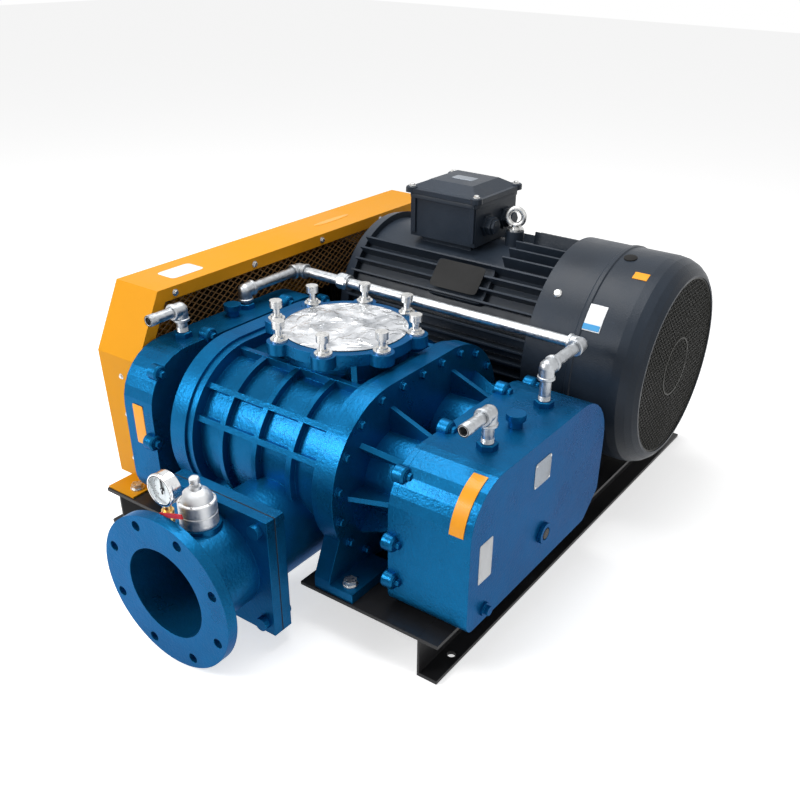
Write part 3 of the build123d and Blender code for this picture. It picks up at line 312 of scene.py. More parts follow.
FINISH = {
    "cast_blue": enamel("cast_blue_enamel", (0.004, 0.105, 0.25), 0.3, 0.03, 150.0, 1.0, 0.6, 0.0014, light=1.4,
                        dark=0.5, sheen=0.15, metallic=0.65, tint=(0.12, 0.4, 0.68, 1)),
    "base_black": enamel("base_black_paint", (0.011, 0.011, 0.012), 0.42, 0.1, 90.0, 0.6, 0.4, 0.0006, light=2.2),
    "guard_yellow": enamel("guard_yellow_paint", (0.64, 0.27, 0.009), 0.42, 0.0, 220.0, 0.5, 0.2, 0.0004, patch=2.2,
                           amount=0.18, edge=0.001, scuff_colour=(0.55, 0.22, 0.015, 1), light=1.1, dark=0.8,
                           sheen=0.08),
    "mesh_dark": enamel("screen_dark_paint", (0.05, 0.05, 0.045), 0.5, 0.0, 300.0, 0.2, 0.3, 0.0002, edge=0.0004),
    "motor_grey": enamel("motor_grey_paint", (0.016, 0.023, 0.034), 0.38, 0.0, 240.0, 0.5, 0.6, 0.0007, light=1.6),
    "galvanised": metal("galvanised_pipe", (0.47, 0.49, 0.51), 0.36, 150.0, 0.2),
    "zinc": metal("zinc_plated_bolt", (0.62, 0.62, 0.61), 0.3, 200.0, 0.15),
    "steel": metal("machined_steel", (0.5, 0.5, 0.5), 0.3, 90.0, 0.1),
    "pulley_iron": metal("pulley_cast_iron", (0.07, 0.07, 0.075), 0.5, 60.0, 0.4),
    "rubber": enamel("belt_rubber", (0.012, 0.012, 0.012), 0.7, 0.0, 400.0, 0.1, 0.6, 0.0003, edge=0.0005),
    "satin_metal": metal("satin_valve_metal", (0.66, 0.67, 0.68), 0.48, 300.0, 0.08),
    "brass": metal("cock_brass", (0.78, 0.52, 0.2), 0.28, 240.0, 0.2),
    "red": enamel("lever_red_vinyl", (0.55, 0.02, 0.015), 0.35, 0.2, 200.0, 0.3, 0.2, 0.0003, edge=0.0008),
    "gauge_chrome": metal("gauge_chrome", (0.78, 0.79, 0.8), 0.12, 200.0, 0.08),
    "dial_white": enamel("dial_white", (0.8, 0.81, 0.8), 0.45, 0.0, 200.0, 0.1, 0.1, 0.0001, light=1.02, dark=0.96),
    "pointer_black": enamel("pointer_black", (0.02, 0.02, 0.02), 0.4, 0.0, 200.0, 0.1, 0.1, 0.0001),
    "cap_black": enamel("filler_cap_blue_black", (0.01, 0.05, 0.12), 0.35, 0.3, 200.0, 0.3, 0.3, 0.0004),
    "film": crumpled_film(),
    "glass": clear_glass(),
}
LABEL_ORANGE = flat_print("bare_orange_label", (0.85, 0.33, 0.01), 0.85)
LABEL_WHITE = flat_print("bare_white_label", (0.74, 0.76, 0.78))
# Guard screen wires in a darkened guard yellow: painted shade standing in for the shaded inside of the guard seen
# through the mesh.
SCREEN_PAINTED_SHADE = enamel("guard_screen_painted_shade", (0.17, 0.088, 0.03), 0.5, 0.0, 300.0, 0.2, 0.3, 0.0002, edge=0.0004)
PLATE_GREY = metal("bare_plate_grey", (0.3, 0.33, 0.37), 0.42, 200.0, 0.15)
LABEL_BLUE = flat_print("bare_blue_label", (0.05, 0.3, 0.6))

PAINTED_WITH_CASTINGS = ("oil_drain_plug", "oil_sight_glass", "oil_fillers", "discharge_bolts")

for node_name, node_object in frame["nodes"].items():
    finish = FINISH["cast_blue" if node_name in PAINTED_WITH_CASTINGS else NODE_SLOT[node_name]]
    if node_object.material_slots:
        for place in node_object.material_slots:
            place.material = finish
    else:
        node_object.data.materials.append(finish)


# ------------------------------------------------------------------ surfaces
def make_piece(name, points, faces, slot, material=None, body=BODY, smooth=30.0):
    """Closed mesh from arrays of points and faces, welded, turned outwards and shaded by angle."""
    mesh = bpy.data.meshes.new(name)
    mesh.from_pydata(np.asarray(points, float), [], faces if isinstance(faces, list) else faces.tolist())
    work = bmesh.new()
    work.from_mesh(mesh)
    bmesh.ops.remove_doubles(work, verts=work.verts, dist=1e-6)
    bmesh.ops.recalc_face_normals(work, faces=work.faces)
    for edge in work.edges:
        edge.smooth = len(edge.link_faces) == 2 and edge.calc_face_angle(9.0) < math.radians(smooth)
    for face in work.faces:
        face.smooth = True
    work.to_mesh(mesh)
    work.free()
    piece = bpy.data.objects.new(name, mesh)
    bpy.context.scene.collection.objects.link(piece)
    piece.data.materials.append(material or FINISH[slot])
    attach(piece, body)
    return piece


def side_axes(axis):
    """Two unit vectors square to an axis."""
    axis = np.asarray(axis, float) / np.linalg.norm(axis)
    first = np.cross(axis, Z if abs(axis[2]) < 0.9 else X)
    first = first / np.linalg.norm(first)
    return axis, first, np.cross(axis, first)


def lathed(profile, centres, axis, sides=32, turn=0.0):
    """Profile (height, radius) carried round an axis: point = centre + height * axis + radius * circle(angle)."""
    axis, first, second = side_axes(axis)
    profile = np.asarray(profile, float)
    angle = turn + np.arange(sides) * 2 * np.pi / sides
    ring = np.cos(angle)[:, None] * first + np.sin(angle)[:, None] * second
    base = profile[:, 0, None, None] * axis + profile[:, 1, None, None] * ring[None]
    rows = len(profile)
    i, j = np.meshgrid(np.arange(rows - 1), np.arange(sides), indexing="ij")
    k = (j + 1) % sides
    quads = np.stack([i * sides + j, i * sides + k, (i + 1) * sides + k, (i + 1) * sides + j], -1).reshape(-1, 4)
    centres = np.atleast_2d(np.asarray(centres, float))
    points = (centres[:, None] + base.reshape(1, -1, 3)).reshape(-1, 3)
    faces = (quads[None] + (np.arange(len(centres)) * rows * sides)[:, None, None]).reshape(-1, 4)
    return points, faces


def bolt_heads(name, centres, axis, r=0.009, h=0.011, slot="zinc", material=None, turn=0.2):
    """Hexagonal heads in one mesh, one per centre."""
    washer = lathed([(0, 0), (0, 1.4 * r), (0.15 * h, 1.4 * r), (0.15 * h, 0)], centres, axis, 18)
    head = lathed([(0.15 * h, 0), (0.15 * h, r), (0.85 * h, r), (h, 0.84 * r), (h, 0)], centres, axis, 6, turn)
    return make_piece(name, *join(washer, head), slot, material)


BOX_FACES = np.array([[0, 1, 3, 2], [4, 6, 7, 5], [0, 4, 5, 1], [2, 3, 7, 6], [0, 2, 6, 4], [1, 5, 7, 3]])


def strips(starts, ends, normal, width, depth):
    """Straight bars: corner = end +- width/2 * across +- depth/2 * normal, across = run x normal."""
    starts = np.asarray(starts, float)
    ends = np.asarray(ends, float)
    run = ends - starts
    run = run / np.linalg.norm(run, axis=1, keepdims=True)
    across = np.cross(run, normal)
    across = across / np.linalg.norm(across, axis=1, keepdims=True)
    signs = np.array([[a, b, c] for a in (0, 1) for b in (-0.5, 0.5) for c in (-0.5, 0.5)])
    base = starts[:, None] * (1 - signs[None, :, :1]) + ends[:, None] * signs[None, :, :1]
    points = base + across[:, None] * signs[None, :, 1:2] * width + np.asarray(normal) * signs[None, :, 2:] * depth
    faces = BOX_FACES[None] + (np.arange(len(starts)) * 8)[:, None, None]
    return points.reshape(-1, 3), faces.reshape(-1, 4)


def rounded_pad(centre, u, v, half_u, half_v, thick, corner=0.25, steps=32):
    """Plate with a rounded-rectangle rim: x and y are cosine and sine to the power corner, edge chamfered."""
    u = np.asarray(u, float)
    v = np.asarray(v, float)
    out = np.cross(u, v)
    angle = np.arange(steps) * 2 * np.pi / steps + np.pi / steps
    cx = np.sign(np.cos(angle)) * np.abs(np.cos(angle)) ** corner
    cy = np.sign(np.sin(angle)) * np.abs(np.sin(angle)) ** corner
    rows = []
    rim = cx[:, None] * half_u * u + cy[:, None] * half_v * v
    for scale, lift in ((0.0, 0.0), (1.0, 0.0), (1.0, 0.7), (0.985, 1.0), (0.0, 1.0)):
        rows.append(np.asarray(centre) + scale * rim + lift * thick * out)
    points = np.vstack(rows)
    i, j = np.meshgrid(np.arange(4), np.arange(steps), indexing="ij")
    k = (j + 1) % steps
    faces = np.stack([i * steps + j, i * steps + k, (i + 1) * steps + k, (i + 1) * steps + j], -1).reshape(-1, 4)
    return points, faces


def clip_lines(outline, starts, ways):
    """Where endless lines start + t * way cross a convex (y, z) outline; keeps those that pass inside."""
    outline = np.asarray(outline, float)
    low = np.full(len(starts), -1e9)
    high = np.full(len(starts), 1e9)
    centre = outline.mean(0)
    for p, q in zip(outline, np.roll(outline, -1, 0)):
        n = np.array([q[1] - p[1], p[0] - q[0]])
        if (centre - p) @ n < 0:
            n = -n
        gap = (starts - p) @ n
        slope = ways @ n
        t = -gap / np.where(np.abs(slope) < 1e-9, 1e-9, slope)
        low = np.where(slope > 0, np.maximum(low, t), low)
        high = np.where(slope <= 0, np.minimum(high, t), high)
    keep = high - low > 0.012
    return (starts + low[:, None] * ways)[keep], (starts + high[:, None] * ways)[keep]


def screen_panel(outline, x, pitch, wire, slope=0.62):
    """Expanded-metal look: two crossing families of slanting strands in the plane x, clipped to an outline."""
    parts = []
    for way in (-1, 1):
        y0 = np.arange(-2.2, 2.6, pitch)
        starts = np.stack([y0, np.full_like(y0, 0.1)], 1)
        ways = np.tile(np.array([1.0, way * slope]) / math.hypot(1, slope), (len(y0), 1))
        a, b = clip_lines(outline, starts, ways)
        lift = x + way * wire * 0.2
        a3 = np.column_stack([np.full(len(a), lift), a])
        b3 = np.column_stack([np.full(len(b), lift), b])
        parts.append(strips(a3, b3, X, wire, wire * 0.5))
    return join(*parts)


def join(*meshes):
    """Several (points, faces) pairs as one."""
    starts = np.cumsum([0] + [len(points) for points, _ in meshes[:-1]])
    points = np.vstack([points for points, _ in meshes])
    return points, np.vstack([faces + start for (_, faces), start in zip(meshes, starts)])


def flat_sheet(outline, x, thick):
    """Plate with a (y, z) outline: the outline ring carried from x to x + thick, capped at both ends."""
    outline = np.asarray(outline, float)
    n = len(outline)
    points = np.vstack([np.column_stack([np.full(n, x), outline]), np.column_stack([np.full(n, x + thick), outline])])
    faces = [tuple(range(n)), tuple(range(2 * n - 1, n - 1, -1))]
    faces += [(k, (k + 1) % n, n + (k + 1) % n, n + k) for k in range(n)]
    return points, faces


# ------------------------------------------------------------------ guard
g_lo, g_hi = (np.array(v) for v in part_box("belt_guard"))
GUARD_RIM = [(-0.551, 0.101), (-0.556, 0.426), (-0.482, 0.566), (0.577, 0.566), (0.626, 0.426), (0.616, 0.101)]
GUARD_BACK = [(-0.555, 0.43), (-0.482, 0.566), (0.577, 0.566), (0.625, 0.43)]
outer = screen_panel(GUARD_RIM, g_lo[0] + 0.0046, 0.026, 0.0026)
inner = screen_panel(GUARD_BACK, g_hi[0] - 0.0046, 0.026, 0.0026)
# The screen wires carry the darkened yellow that paints the shade inside the guard.
screen = make_piece("guard_screen", *join(outer, inner), "mesh_dark", SCREEN_PAINTED_SHADE, smooth=5)
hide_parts("guard_mesh")
make_piece("guard_back_sheet", *flat_sheet(GUARD_RIM, g_lo[0] + 0.0006, 0.0012), "guard_yellow")
GUARD_MID_X = -0.462
GUARD_FACE_Y = -0.5705
rim_y = np.array([-0.44, -0.18, 0.08, 0.34, 0.54])
bolt_heads("guard_rim_screws", [(g_hi[0], y, g_hi[2] - 0.016) for y in rim_y], X, 0.006, 0.006)
bolt_heads("guard_face_screws", [(g_lo[0] + 0.07, GUARD_FACE_Y, z) for z in (0.16, 0.28, 0.38)], -Y, 0.005, 0.004)
label = rounded_pad((GUARD_MID_X, -0.36, g_hi[2]), Y, -X, 0.05, 0.03, 0.0006)
make_piece("guard_label_white", *label, "dial_white", LABEL_WHITE)
badge = rounded_pad((GUARD_MID_X, 0.2, g_hi[2]), Y, -X, 0.075, 0.01, 0.0008, 0.9)
make_piece("guard_badge", *badge, "guard_yellow", LABEL_ORANGE)

# ------------------------------------------------------------------ motor
c_lo, c_hi = (np.array(v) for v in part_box("fan_cowl"))
AXIS_Y = float((c_lo[1] + c_hi[1]) / 2)
AXIS_Z = float((c_lo[2] + c_hi[2]) / 2)
COWL_R = float((c_hi[2] - c_lo[2]) / 2) - 0.003
GRILLE_R = 0.222
NET_WIRE, NET_DEPTH = 0.0019, 0.0014


def round_clip(offsets, radius):
    """Half chord of a circle at each offset."""
    return np.sqrt(np.maximum(radius ** 2 - offsets ** 2, 0))


def grille_mesh():
    """Square wire net inside a circle, with two heavier rings."""
    wires = np.arange(-0.21, 0.2101, 0.0105)
    half = round_clip(wires, GRILLE_R)
    x = c_hi[0] - 0.0042
    front = np.full_like(wires, x)
    behind = front - 0.001
    up = strips(np.column_stack([front, AXIS_Y + wires, AXIS_Z - half]),
                np.column_stack([front, AXIS_Y + wires, AXIS_Z + half]), X, NET_WIRE, NET_DEPTH)
    flat = strips(np.column_stack([behind, AXIS_Y - half, AXIS_Z + wires]),
                  np.column_stack([behind, AXIS_Y + half, AXIS_Z + wires]), X, NET_WIRE, NET_DEPTH)
    rings = []
    for r in (0.07, 0.217):
        section = [(0, r), (0, r + 0.004), (0.0025, r + 0.004), (0.0025, r), (0, r)]
        rings.append(lathed(section, [(x - 0.001, AXIS_Y, AXIS_Z)], X, 72))
    return join(up, flat, *rings)


grille = make_piece("fan_net", *grille_mesh(), "mesh_dark", smooth=25)
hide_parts("fan_grille")


def on_cowl(x, angle, lift=0.0, radius=None):
    """Point on the cowl, angle in degrees from straight up toward -Y."""
    a = math.radians(angle)
    r = (radius or COWL_R) + lift
    return np.array([x, AXIS_Y - r * math.sin(a), AXIS_Z + r * math.cos(a)])


def curved_label(x0, x1, a0, a1, radius, lift=0.0006, steps=10, centre=(AXIS_Y, AXIS_Z)):
    """Thin curved patch: point = centre + radius * circle(angle from up toward -Y), over a span of x."""
    a = np.radians(np.linspace(a0, a1, steps))
    rows = []
    for r in (radius + lift * 0.05, radius + lift):
        for x in (x0, x1):
            rows.append(np.column_stack([np.full(steps, x), centre[0] - r * np.sin(a), centre[1] + r * np.cos(a)]))
    points = np.vstack(rows)
    k = np.arange(steps - 1)
    near, far, over_near, over_far = (k + row * steps for row in range(4))
    sides = ((near, near + 1, far + 1, far), (over_near, over_far, over_far + 1, over_near + 1),
             (near, over_near, over_near + 1, near + 1), (far, far + 1, over_far + 1, over_far))
    faces = np.vstack([np.column_stack(side) for side in sides])
    ends = steps * np.array([[0, 1, 3, 2], [1, 3, 4, 2]]) - [[0], [1]]
    return points, np.vstack([faces, ends])


make_piece("cowl_label", *curved_label(0.4, 0.446, 46, 60, COWL_R, 0.0015), "dial_white", LABEL_WHITE)
make_piece("cowl_label_band", *curved_label(0.402, 0.444, 56.5, 59.5, COWL_R, 0.002), "dial_white", LABEL_BLUE)
make_piece("cowl_mark", *curved_label(0.462, 0.498, 21, 26, COWL_R, 0.0012), "guard_yellow", LABEL_ORANGE)
screw_spots = [on_cowl(0.312, a) for a in (45, 135, 225, 315)]
heads = [lathed([(0, 0), (0, 0.011), (0.002, 0.011), (0.006, 0.007), (0.006, 0)], [p],
                (0, p[1] - AXIS_Y, p[2] - AXIS_Z), 16) for p in screw_spots]
make_piece("cowl_screws", *join(*heads), "zinc")
plug = on_cowl(0.425, 10, 0.0)
make_piece("cowl_plug", *lathed([(-0.001, 0), (-0.001, 0.016), (0.002, 0.016), (0.004, 0.01), (0.004, 0)], [plug],
                                (0, plug[1] - AXIS_Y, plug[2] - AXIS_Z), 24), "rubber")

FRAME_R = 0.215
PLATE_LIFT = FRAME_R + 0.034
PAD_THICK = 0.02
plate_angle = math.radians(48)
plate_out = np.array([0, -math.sin(plate_angle), math.cos(plate_angle)])
plate_side = np.cross(X, plate_out)
plate_mid = np.array([0.03, AXIS_Y, AXIS_Z]) + plate_out * PLATE_LIFT
pad = rounded_pad(plate_mid - plate_out * PAD_THICK, X, plate_side, 0.085, 0.05, PAD_THICK, 0.2)
make_piece("motor_plate_pad", *pad, "motor_grey")
make_piece("motor_plate", *rounded_pad(plate_mid, X, plate_side, 0.07, 0.038, 0.0008, 0.2), "rubber")
t_lo, t_hi = (np.array(v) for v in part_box("terminal_box"))
l_lo, l_hi = (np.array(v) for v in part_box("terminal_lid"))
EAR_IN = 0.012
ear_x = (l_lo[0] + EAR_IN, l_hi[0] - EAR_IN)
ear_y = (l_lo[1] + EAR_IN, l_hi[1] - EAR_IN)
ears = [(x, y, l_lo[2] + 0.001) for x in ear_x for y in ear_y]
ear = [(0, 0), (0, 0.016), (0.013, 0.016), (0.015, 0.013), (0.015, 0)]
make_piece("lid_ears", *lathed(ear, ears, Z, 20), "motor_grey")
bolt_heads("lid_screws", [(x, y, z + 0.015) for x, y, z in ears], Z, 0.0065, 0.006)
gland = [(0, 0), (0, 0.03), (0.008, 0.03), (0.008, 0.024), (0.022, 0.024), (0.022, 0.019), (0.03, 0.019), (0.03, 0)]
make_piece("cable_glands", *lathed(gland, [(t_hi[0], AXIS_Y - 0.045, 0.645), (t_hi[0], AXIS_Y + 0.045, 0.645)], X, 6),
           "motor_grey")
box_ribs = strips([(x, t_lo[1] - 0.002, t_lo[2] + 0.01) for x in (-0.165, 0.015)],
                  [(x, t_lo[1] - 0.002, t_hi[2]) for x in (-0.165, 0.015)], Y, 0.014, 0.006)
make_piece("box_edge_ribs", *box_ribs, "motor_grey")
flange_mid = ((t_lo[0] + t_hi[0]) / 2, AXIS_Y, t_hi[2] - 0.012)
make_piece("box_flange", *rounded_pad(flange_mid, X, Y, 0.107, 0.107, 0.012, 0.16), "motor_grey")
lid_mid = ((l_lo[0] + l_hi[0]) / 2, AXIS_Y, l_hi[2] - 0.0004)
make_piece("lid_plate", *rounded_pad(lid_mid, X, Y, 0.032, 0.017, 0.0008, 0.15), "dial_white", PLATE_GREY)
SHIELD_X, SHIELD_BOLT_R = -0.3225, 0.2
around = np.radians(np.arange(22.5, 360, 45))
shield_bolts = np.column_stack([np.full(8, SHIELD_X), AXIS_Y + SHIELD_BOLT_R * np.sin(around),
                                AXIS_Z + SHIELD_BOLT_R * np.cos(around)])
bolt_heads("drive_shield_bolts", shield_bolts, -X, 0.011, 0.012)

# ------------------------------------------------------------------ blower castings
SHAFT_Z = 0.3
IDLE_Y = -0.424
DRIVE_Y = -0.196


def slot_points(radius, count):
    """Evenly spaced (y, z) points on a slot-shaped line round both shafts."""
    straight = DRIVE_Y - IDLE_Y
    total = 2 * straight + 2 * math.pi * radius
    s = (np.arange(count) + 0.5) * total / count
    points = []
    for d in s:
        if d < straight:
            points.append((IDLE_Y + d, SHAFT_Z + radius))
        elif d < straight + math.pi * radius:
            a = (d - straight) / radius
            points.append((DRIVE_Y + radius * math.sin(a), SHAFT_Z + radius * math.cos(a)))
        elif d < 2 * straight + math.pi * radius:
            points.append((DRIVE_Y - (d - straight - math.pi * radius), SHAFT_Z - radius))
        else:
            a = (d - 2 * straight - math.pi * radius) / radius
            points.append((IDLE_Y - radius * math.sin(a), SHAFT_Z - radius * math.cos(a)))
    return points


plate_ring = slot_points(0.182, 22)
bolt_heads("gear_plate_bolts", [(0.215, y, z) for y, z in plate_ring], X, 0.009, 0.01, "cast_blue")
bolt_heads("drive_plate_bolts", [(-0.25, y, z) for y, z in plate_ring], -X, 0.009, 0.01, "cast_blue")
gc_lo, gc_hi = (np.array(v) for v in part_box("gear_case"))
oc_lo, oc_hi = (np.array(v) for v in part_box("drive_oil_case"))


def case_lug_spots(lo, hi, corner):
    """Spots round a case rim, on its straight runs and at the middle of its upper corners."""
    k = corner * (1 - math.sqrt(0.5))
    return [(lo[1] - 0.002, lo[2] + 0.06), (lo[1] - 0.002, (lo[2] + hi[2]) / 2 - 0.01), (lo[1] + k, hi[2] - k),
            (lo[1] + corner + 0.07, hi[2] + 0.002), (hi[1] - corner - 0.05, hi[2] + 0.002), (hi[1] - k, hi[2] - k),
            (hi[1] + 0.002, (lo[2] + hi[2]) / 2), (hi[1] - 0.11, lo[2] - 0.001), (lo[1] + 0.15, lo[2] - 0.001)]


gear_lugs = case_lug_spots(gc_lo, gc_hi, 0.115)
lug = [(0, 0), (0, 0.016), (0.003, 0.0185), (0.024, 0.0185), (0.028, 0.015), (0.028, 0)]
make_piece("gear_case_lugs", *lathed(lug, [(0.33, y, z) for y, z in gear_lugs], X, 24), "cast_blue")
bolt_heads("gear_case_bolts", [(0.358, y, z) for y, z in gear_lugs], X, 0.009, 0.01, "cast_blue")
oil_lugs = case_lug_spots(oc_lo, oc_hi, 0.125)
make_piece("oil_case_lugs", *lathed(lug, [(-0.322, y, z) for y, z in oil_lugs], X, 24), "cast_blue")
bolt_heads("oil_case_bolts", [(-0.294, y, z) for y, z in oil_lugs], X, 0.009, 0.01, "cast_blue")


end_x = gc_hi[0]
plate = rounded_pad((end_x, -0.33, 0.36), Y, Z, 0.034, 0.03, 0.001, 0.2)
make_piece("gear_case_plate", *plate, "satin_metal", PLATE_GREY)
rivets = [(end_x + 0.001, -0.33 + sy * 0.029, 0.36 + sz * 0.025) for sy in (-1, 1) for sz in (-1, 1)]
make_piece("plate_rivets", *lathed([(0, 0), (0, 0.003), (0.0012, 0.0022), (0.0016, 0)], rivets, X, 10), "zinc")
CORNER_R = 0.11
CORNER = (gc_lo[1] + CORNER_R, gc_hi[2] - CORNER_R)
label = curved_label(0.477, 0.509, 16, 84, CORNER_R, 0.0012, 16, CORNER)
make_piece("gear_case_label", *label, "guard_yellow", LABEL_ORANGE)
note = rounded_pad((end_x, -0.542, 0.262), Y, Z, 0.024, 0.046, 0.0006, 0.1)
make_piece("gear_case_note", *note, "dial_white", LABEL_WHITE)
label = rounded_pad((-0.345, oc_lo[1], 0.315), X, Z, 0.017, 0.05, 0.0006, 0.1)
make_piece("oil_case_label", *label, "guard_yellow", LABEL_ORANGE)
glass_eye = [(0, 0), (0, 0.013), (0.003, 0.012), (0.0035, 0)]
lens = lathed(glass_eye, [(end_x + 0.006, -0.302, 0.194)], X, 28)
make_piece("sight_glass_lens", *lens, "satin_metal", FINISH["pointer_black"])
bush = [(0, 0), (0, 0.022), (0.011, 0.022), (0.013, 0.019), (0.013, 0)]
bushes = [(0.45, -0.43, gc_hi[2]), (0.45, -0.2, gc_hi[2]), (-0.35, -0.47, oc_hi[2]), (-0.365, -0.25, oc_hi[2])]
make_piece("riser_bushes", *lathed(bush, bushes, Z, 6), "cast_blue")

# ------------------------------------------------------------------ intake film
f_lo, f_hi = (np.array(v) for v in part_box("intake_film"))


def crumpled_disc():
    """Disc grid: height = sum of slanting triangle waves that fade to nothing at the rim."""
    rings, spokes = 60, 160
    r = np.linspace(0, 1, rings)[:, None]
    a = np.arange(spokes)[None] * 2 * np.pi / spokes
    radius = (f_hi[0] - f_lo[0]) / 2 + 0.004
    x = r * np.cos(a)
    y = r * np.sin(a)
    rng = np.random.default_rng(7)
    height = np.zeros_like(x)
    for k in range(16):
        w = rng.uniform(0, 2 * np.pi)
        f = rng.uniform(2.0, 11.0)
        phase = (x * np.cos(w) + y * np.sin(w)) * f + rng.uniform(0, 1) + 0.25 * np.sin(5 * y + k)
        height += np.abs(phase % 2 - 1) * 0.0046 / f
    height = (height - height.mean()) * (1 - r ** 6) + 0.0012 * (1 - r ** 2)
    centre = (f_lo + f_hi) / 2
    top = np.stack([centre[0] + radius * x, centre[1] + radius * y, f_lo[2] + 0.0018 + height], -1).reshape(-1, 3)
    i, j = np.meshgrid(np.arange(rings - 1), np.arange(spokes), indexing="ij")
    k = (j + 1) % spokes
    faces = np.stack([i * spokes + j, (i + 1) * spokes + j, (i + 1) * spokes + k, i * spokes + k], -1).reshape(-1, 4)
    return top, faces


film = make_piece("foil_film", *crumpled_disc(), "film", smooth=80)
wall = film.modifiers.new("wall", "SOLIDIFY")
wall.thickness = 0.0003
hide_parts("intake_film")

# ------------------------------------------------------------------ pipe beads, valve and gauge
def beads(spots, axis, radius=0.0175):
    """Raised rims on malleable fittings."""
    ring = [(-0.004, radius * 0.8), (-0.004, radius), (-0.0025, radius * 1.1), (0.0025, radius * 1.1),
            (0.004, radius), (0.004, radius * 0.8), (-0.004, radius * 0.8)]
    return lathed(ring, spots, axis, 28)


beads_z = beads([(0.45, -0.43, 0.487), (-0.35, -0.47, 0.519), (0.45, -0.2, 0.499), (-0.365, -0.25, 0.499)], Z)
beads_y = beads([(0.45, -0.453, 0.51), (-0.35, -0.493, 0.542), (0.45, -0.177, 0.522), (-0.365, -0.227, 0.522),
                 (0.45, -0.073, 0.522), (-0.365, -0.073, 0.522)], Y)
beads_x = beads([(0.427, -0.05, 0.522), (-0.342, -0.05, 0.522)], X)
make_piece("fitting_beads", *join(beads_z, beads_y, beads_x), "galvanised")
union = lathed([(0, 0.012), (0, 0.0215), (0.022, 0.0215), (0.022, 0.012), (0, 0.012)], [(-0.222, -0.05, 0.522)], X, 8)
make_piece("union_nut", *union, "galvanised")


def thread_rings(x, y, z, axis, radius, length, pitch=0.0018):
    """Row of shallow ridges along a pipe end."""
    n = int(length / pitch)
    t = np.arange(2 * n + 1) * pitch / 2
    r = radius + np.where(np.arange(2 * n + 1) % 2 == 1, 0.0007, 0.0)
    profile = [(0, radius * 0.85)] + list(zip(t, r)) + [(t[-1], radius * 0.85), (0, radius * 0.85)]
    return lathed(profile, [(x, y, z)], axis, 28)


threads = [thread_rings(0.45, -0.522, 0.51, Y, 0.0125, 0.02), thread_rings(-0.35, -0.562, 0.542, Y, 0.0125, 0.02),
           thread_rings(0.45, -0.43, 0.447, Z, 0.0125, 0.012), thread_rings(-0.35, -0.47, 0.49, Z, 0.0125, 0.012),
           thread_rings(0.45, -0.2, 0.447, Z, 0.0125, 0.012)]
make_piece("pipe_threads", *join(*threads), "galvanised", smooth=10)

LEVER_Y = -0.8765
lever = strips([(0.008, LEVER_Y, 0.331), (0.012, LEVER_Y, 0.344)], [(0.014, LEVER_Y, 0.346), (0.072, LEVER_Y, 0.362)],
               Y, 0.009, 0.003)
stem = lathed([(0, 0), (0, 0.004), (0.012, 0.004), (0.013, 0.003), (0.013, 0)], [(0.008, -0.8665, 0.331)], -Y, 16)
handle = make_piece("cock_handle", *join(lever, stem), "red", body="cock_lever")
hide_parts("cock_lever")
v_lo, v_hi = (np.array(v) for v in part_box("relief_valve_body"))
VX, VY = (v_lo[0] + v_hi[0]) / 2, (v_lo[1] + v_hi[1]) / 2
valve = [(0, 0), (0, 0.038), (0.024, 0.038), (0.025, 0.0365), (0.028, 0.0365), (0.029, 0.038), (0.05, 0.038),
         (0.052, 0.0365), (0.053, 0.0325), (0.06, 0.031), (0.068, 0.0255), (0.073, 0.018), (0.075, 0.012),
         (0.082, 0.0115), (0.083, 0.0056), (0.083, 0)]
valve_body = make_piece("valve_shell", *lathed(valve, [(VX, VY, v_lo[2])], Z, 56), "satin_metal")
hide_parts("relief_valve_body")
SCREW_R = 0.0345
around = np.arange(6) * math.pi / 3
valve_screws = [(VX + SCREW_R * math.cos(k), VY + SCREW_R * math.sin(k), v_lo[2] + 0.052) for k in around]
bolt_heads("valve_screws", valve_screws, Z, 0.0022, 0.0025)
k_lo = np.array(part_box("relief_knob")[0])
knob = [(0.0, 0), (0.0, 0.005), (0.046, 0.005), (0.047, 0.0085), (0.05, 0.0105), (0.058, 0.0105), (0.061, 0.0085),
        (0.062, 0)]
knob_piece = make_piece("valve_knob", *lathed(knob, [(VX, VY, k_lo[2])], Z, 32), "satin_metal", body="relief_knob")
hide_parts("relief_knob")

dl_lo, dl_hi = (np.array(v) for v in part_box("gauge_dial"))
GX, GZ = (dl_lo[0] + dl_hi[0]) / 2, (dl_lo[2] + dl_hi[2]) / 2
t = np.radians(np.linspace(-135, 135, 31))
long = np.where(np.arange(31) % 5 == 0, 0.0195, 0.0225)
face_y = dl_lo[1] - 0.0002
TICK_R = 0.0255
inner = np.column_stack([GX + long * np.sin(t), np.full(31, face_y), GZ + long * np.cos(t)])
outer = np.column_stack([GX + TICK_R * np.sin(t), np.full(31, face_y), GZ + TICK_R * np.cos(t)])
ticks = strips(inner, outer, Y, 0.0008, 0.0003)
make_piece("dial_ticks", *ticks, "pointer_black")
bezel = [(0, 0.0285), (0, 0.0335), (0.003, 0.0345), (0.006, 0.034), (0.008, 0.031), (0.008, 0.0285), (0, 0.0285)]
make_piece("gauge_bezel", *lathed(bezel, [(GX, dl_hi[1] - 0.003, GZ)], -Y, 48), "gauge_chrome")
bolt_heads("cock_nut", [(GX, dl_lo[1] - 0.018, 0.331)], -Y, 0.006, 0.005, "brass")

# ------------------------------------------------------------------ stage and light
def seen_rays(tree):
    """1 for camera, gloss and transmission rays, 0 for the rest."""
    rays = add_node(tree, "ShaderNodeLightPath")
    seen = math_node(tree, "MAXIMUM", rays.outputs["Is Camera Ray"], rays.outputs["Is Glossy Ray"])
    return math_node(tree, "MAXIMUM", seen.outputs[0], rays.outputs["Is Transmission Ray"])


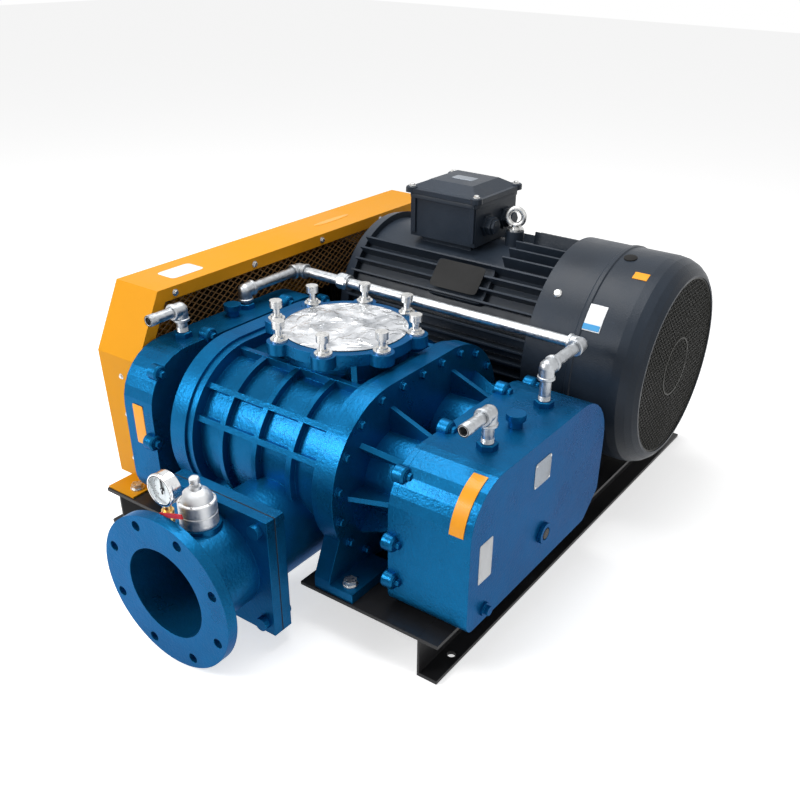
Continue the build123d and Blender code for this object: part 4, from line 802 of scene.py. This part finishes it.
def pale_surface(name, colour, lift):
    """Matt pale surface that shows a set brightness to the camera and to gloss, and takes shadows."""
    material, tree, shader = new_material(name)
    shader.inputs["Base Color"].default_value = (colour, colour, colour, 1)
    shader.inputs["Roughness"].default_value = 0.9
    shader.inputs["Specular IOR Level"].default_value = 0.0
    glow = math_node(tree, "MULTIPLY", seen_rays(tree).outputs[0], lift)
    shader.inputs["Emission Color"].default_value = (1, 1, 1, 1)
    tree.links.new(glow.outputs[0], shader.inputs["Emission Strength"])
    return material


floor_mesh = bpy.data.meshes.new("floor")
REACH, DROP = 14, -0.0005
corners = [(-REACH, -REACH, DROP), (REACH, -REACH, DROP), (REACH, REACH, DROP), (-REACH, REACH, DROP)]
floor_mesh.from_pydata(corners, [], [(0, 1, 2, 3)])
floor = bpy.data.objects.new("floor", floor_mesh)
bpy.context.scene.collection.objects.link(floor)
floor_mesh.materials.append(pale_surface("pale_floor", 0.8, 0.62))

world = bpy.data.worlds.new("studio")
bpy.context.scene.world = world
world.use_nodes = True
sky = world.node_tree
backdrop = sky.nodes["Background"]
level = add_node(sky, "ShaderNodeMapRange", {"To Min": 0.36, "To Max": 1.0}, {"Value": seen_rays(sky).outputs[0]})
backdrop.inputs["Color"].default_value = (1, 1, 1, 1)
sky.links.new(level.outputs[0], backdrop.inputs["Strength"])


def soft_lamp(name, place, target, size, power):
    """Square area lamp aimed at a point."""
    data = bpy.data.lights.new(name, "AREA")
    data.shape = "SQUARE"
    data.size = size
    data.energy = power
    lamp = bpy.data.objects.new(name, data)
    bpy.context.scene.collection.objects.link(lamp)
    aim = (Vector(target) - Vector(place)).to_track_quat("-Z", "Y")
    lamp.matrix_world = Matrix.Translation(place) @ aim.to_matrix().to_4x4()


soft_lamp("overhead", (-0.3, -0.1, 2.6), (0, 0, 0.3), 1.6, 50)
soft_lamp("left_key", (-1.6, -2.8, 2.0), (0, -0.2, 0.3), 1.2, 75)
soft_lamp("right_fill", (3.0, -0.6, 1.4), (0.3, 0, 0.3), 1.6, 6)

bpy.context.scene.view_settings.view_transform = "Standard"
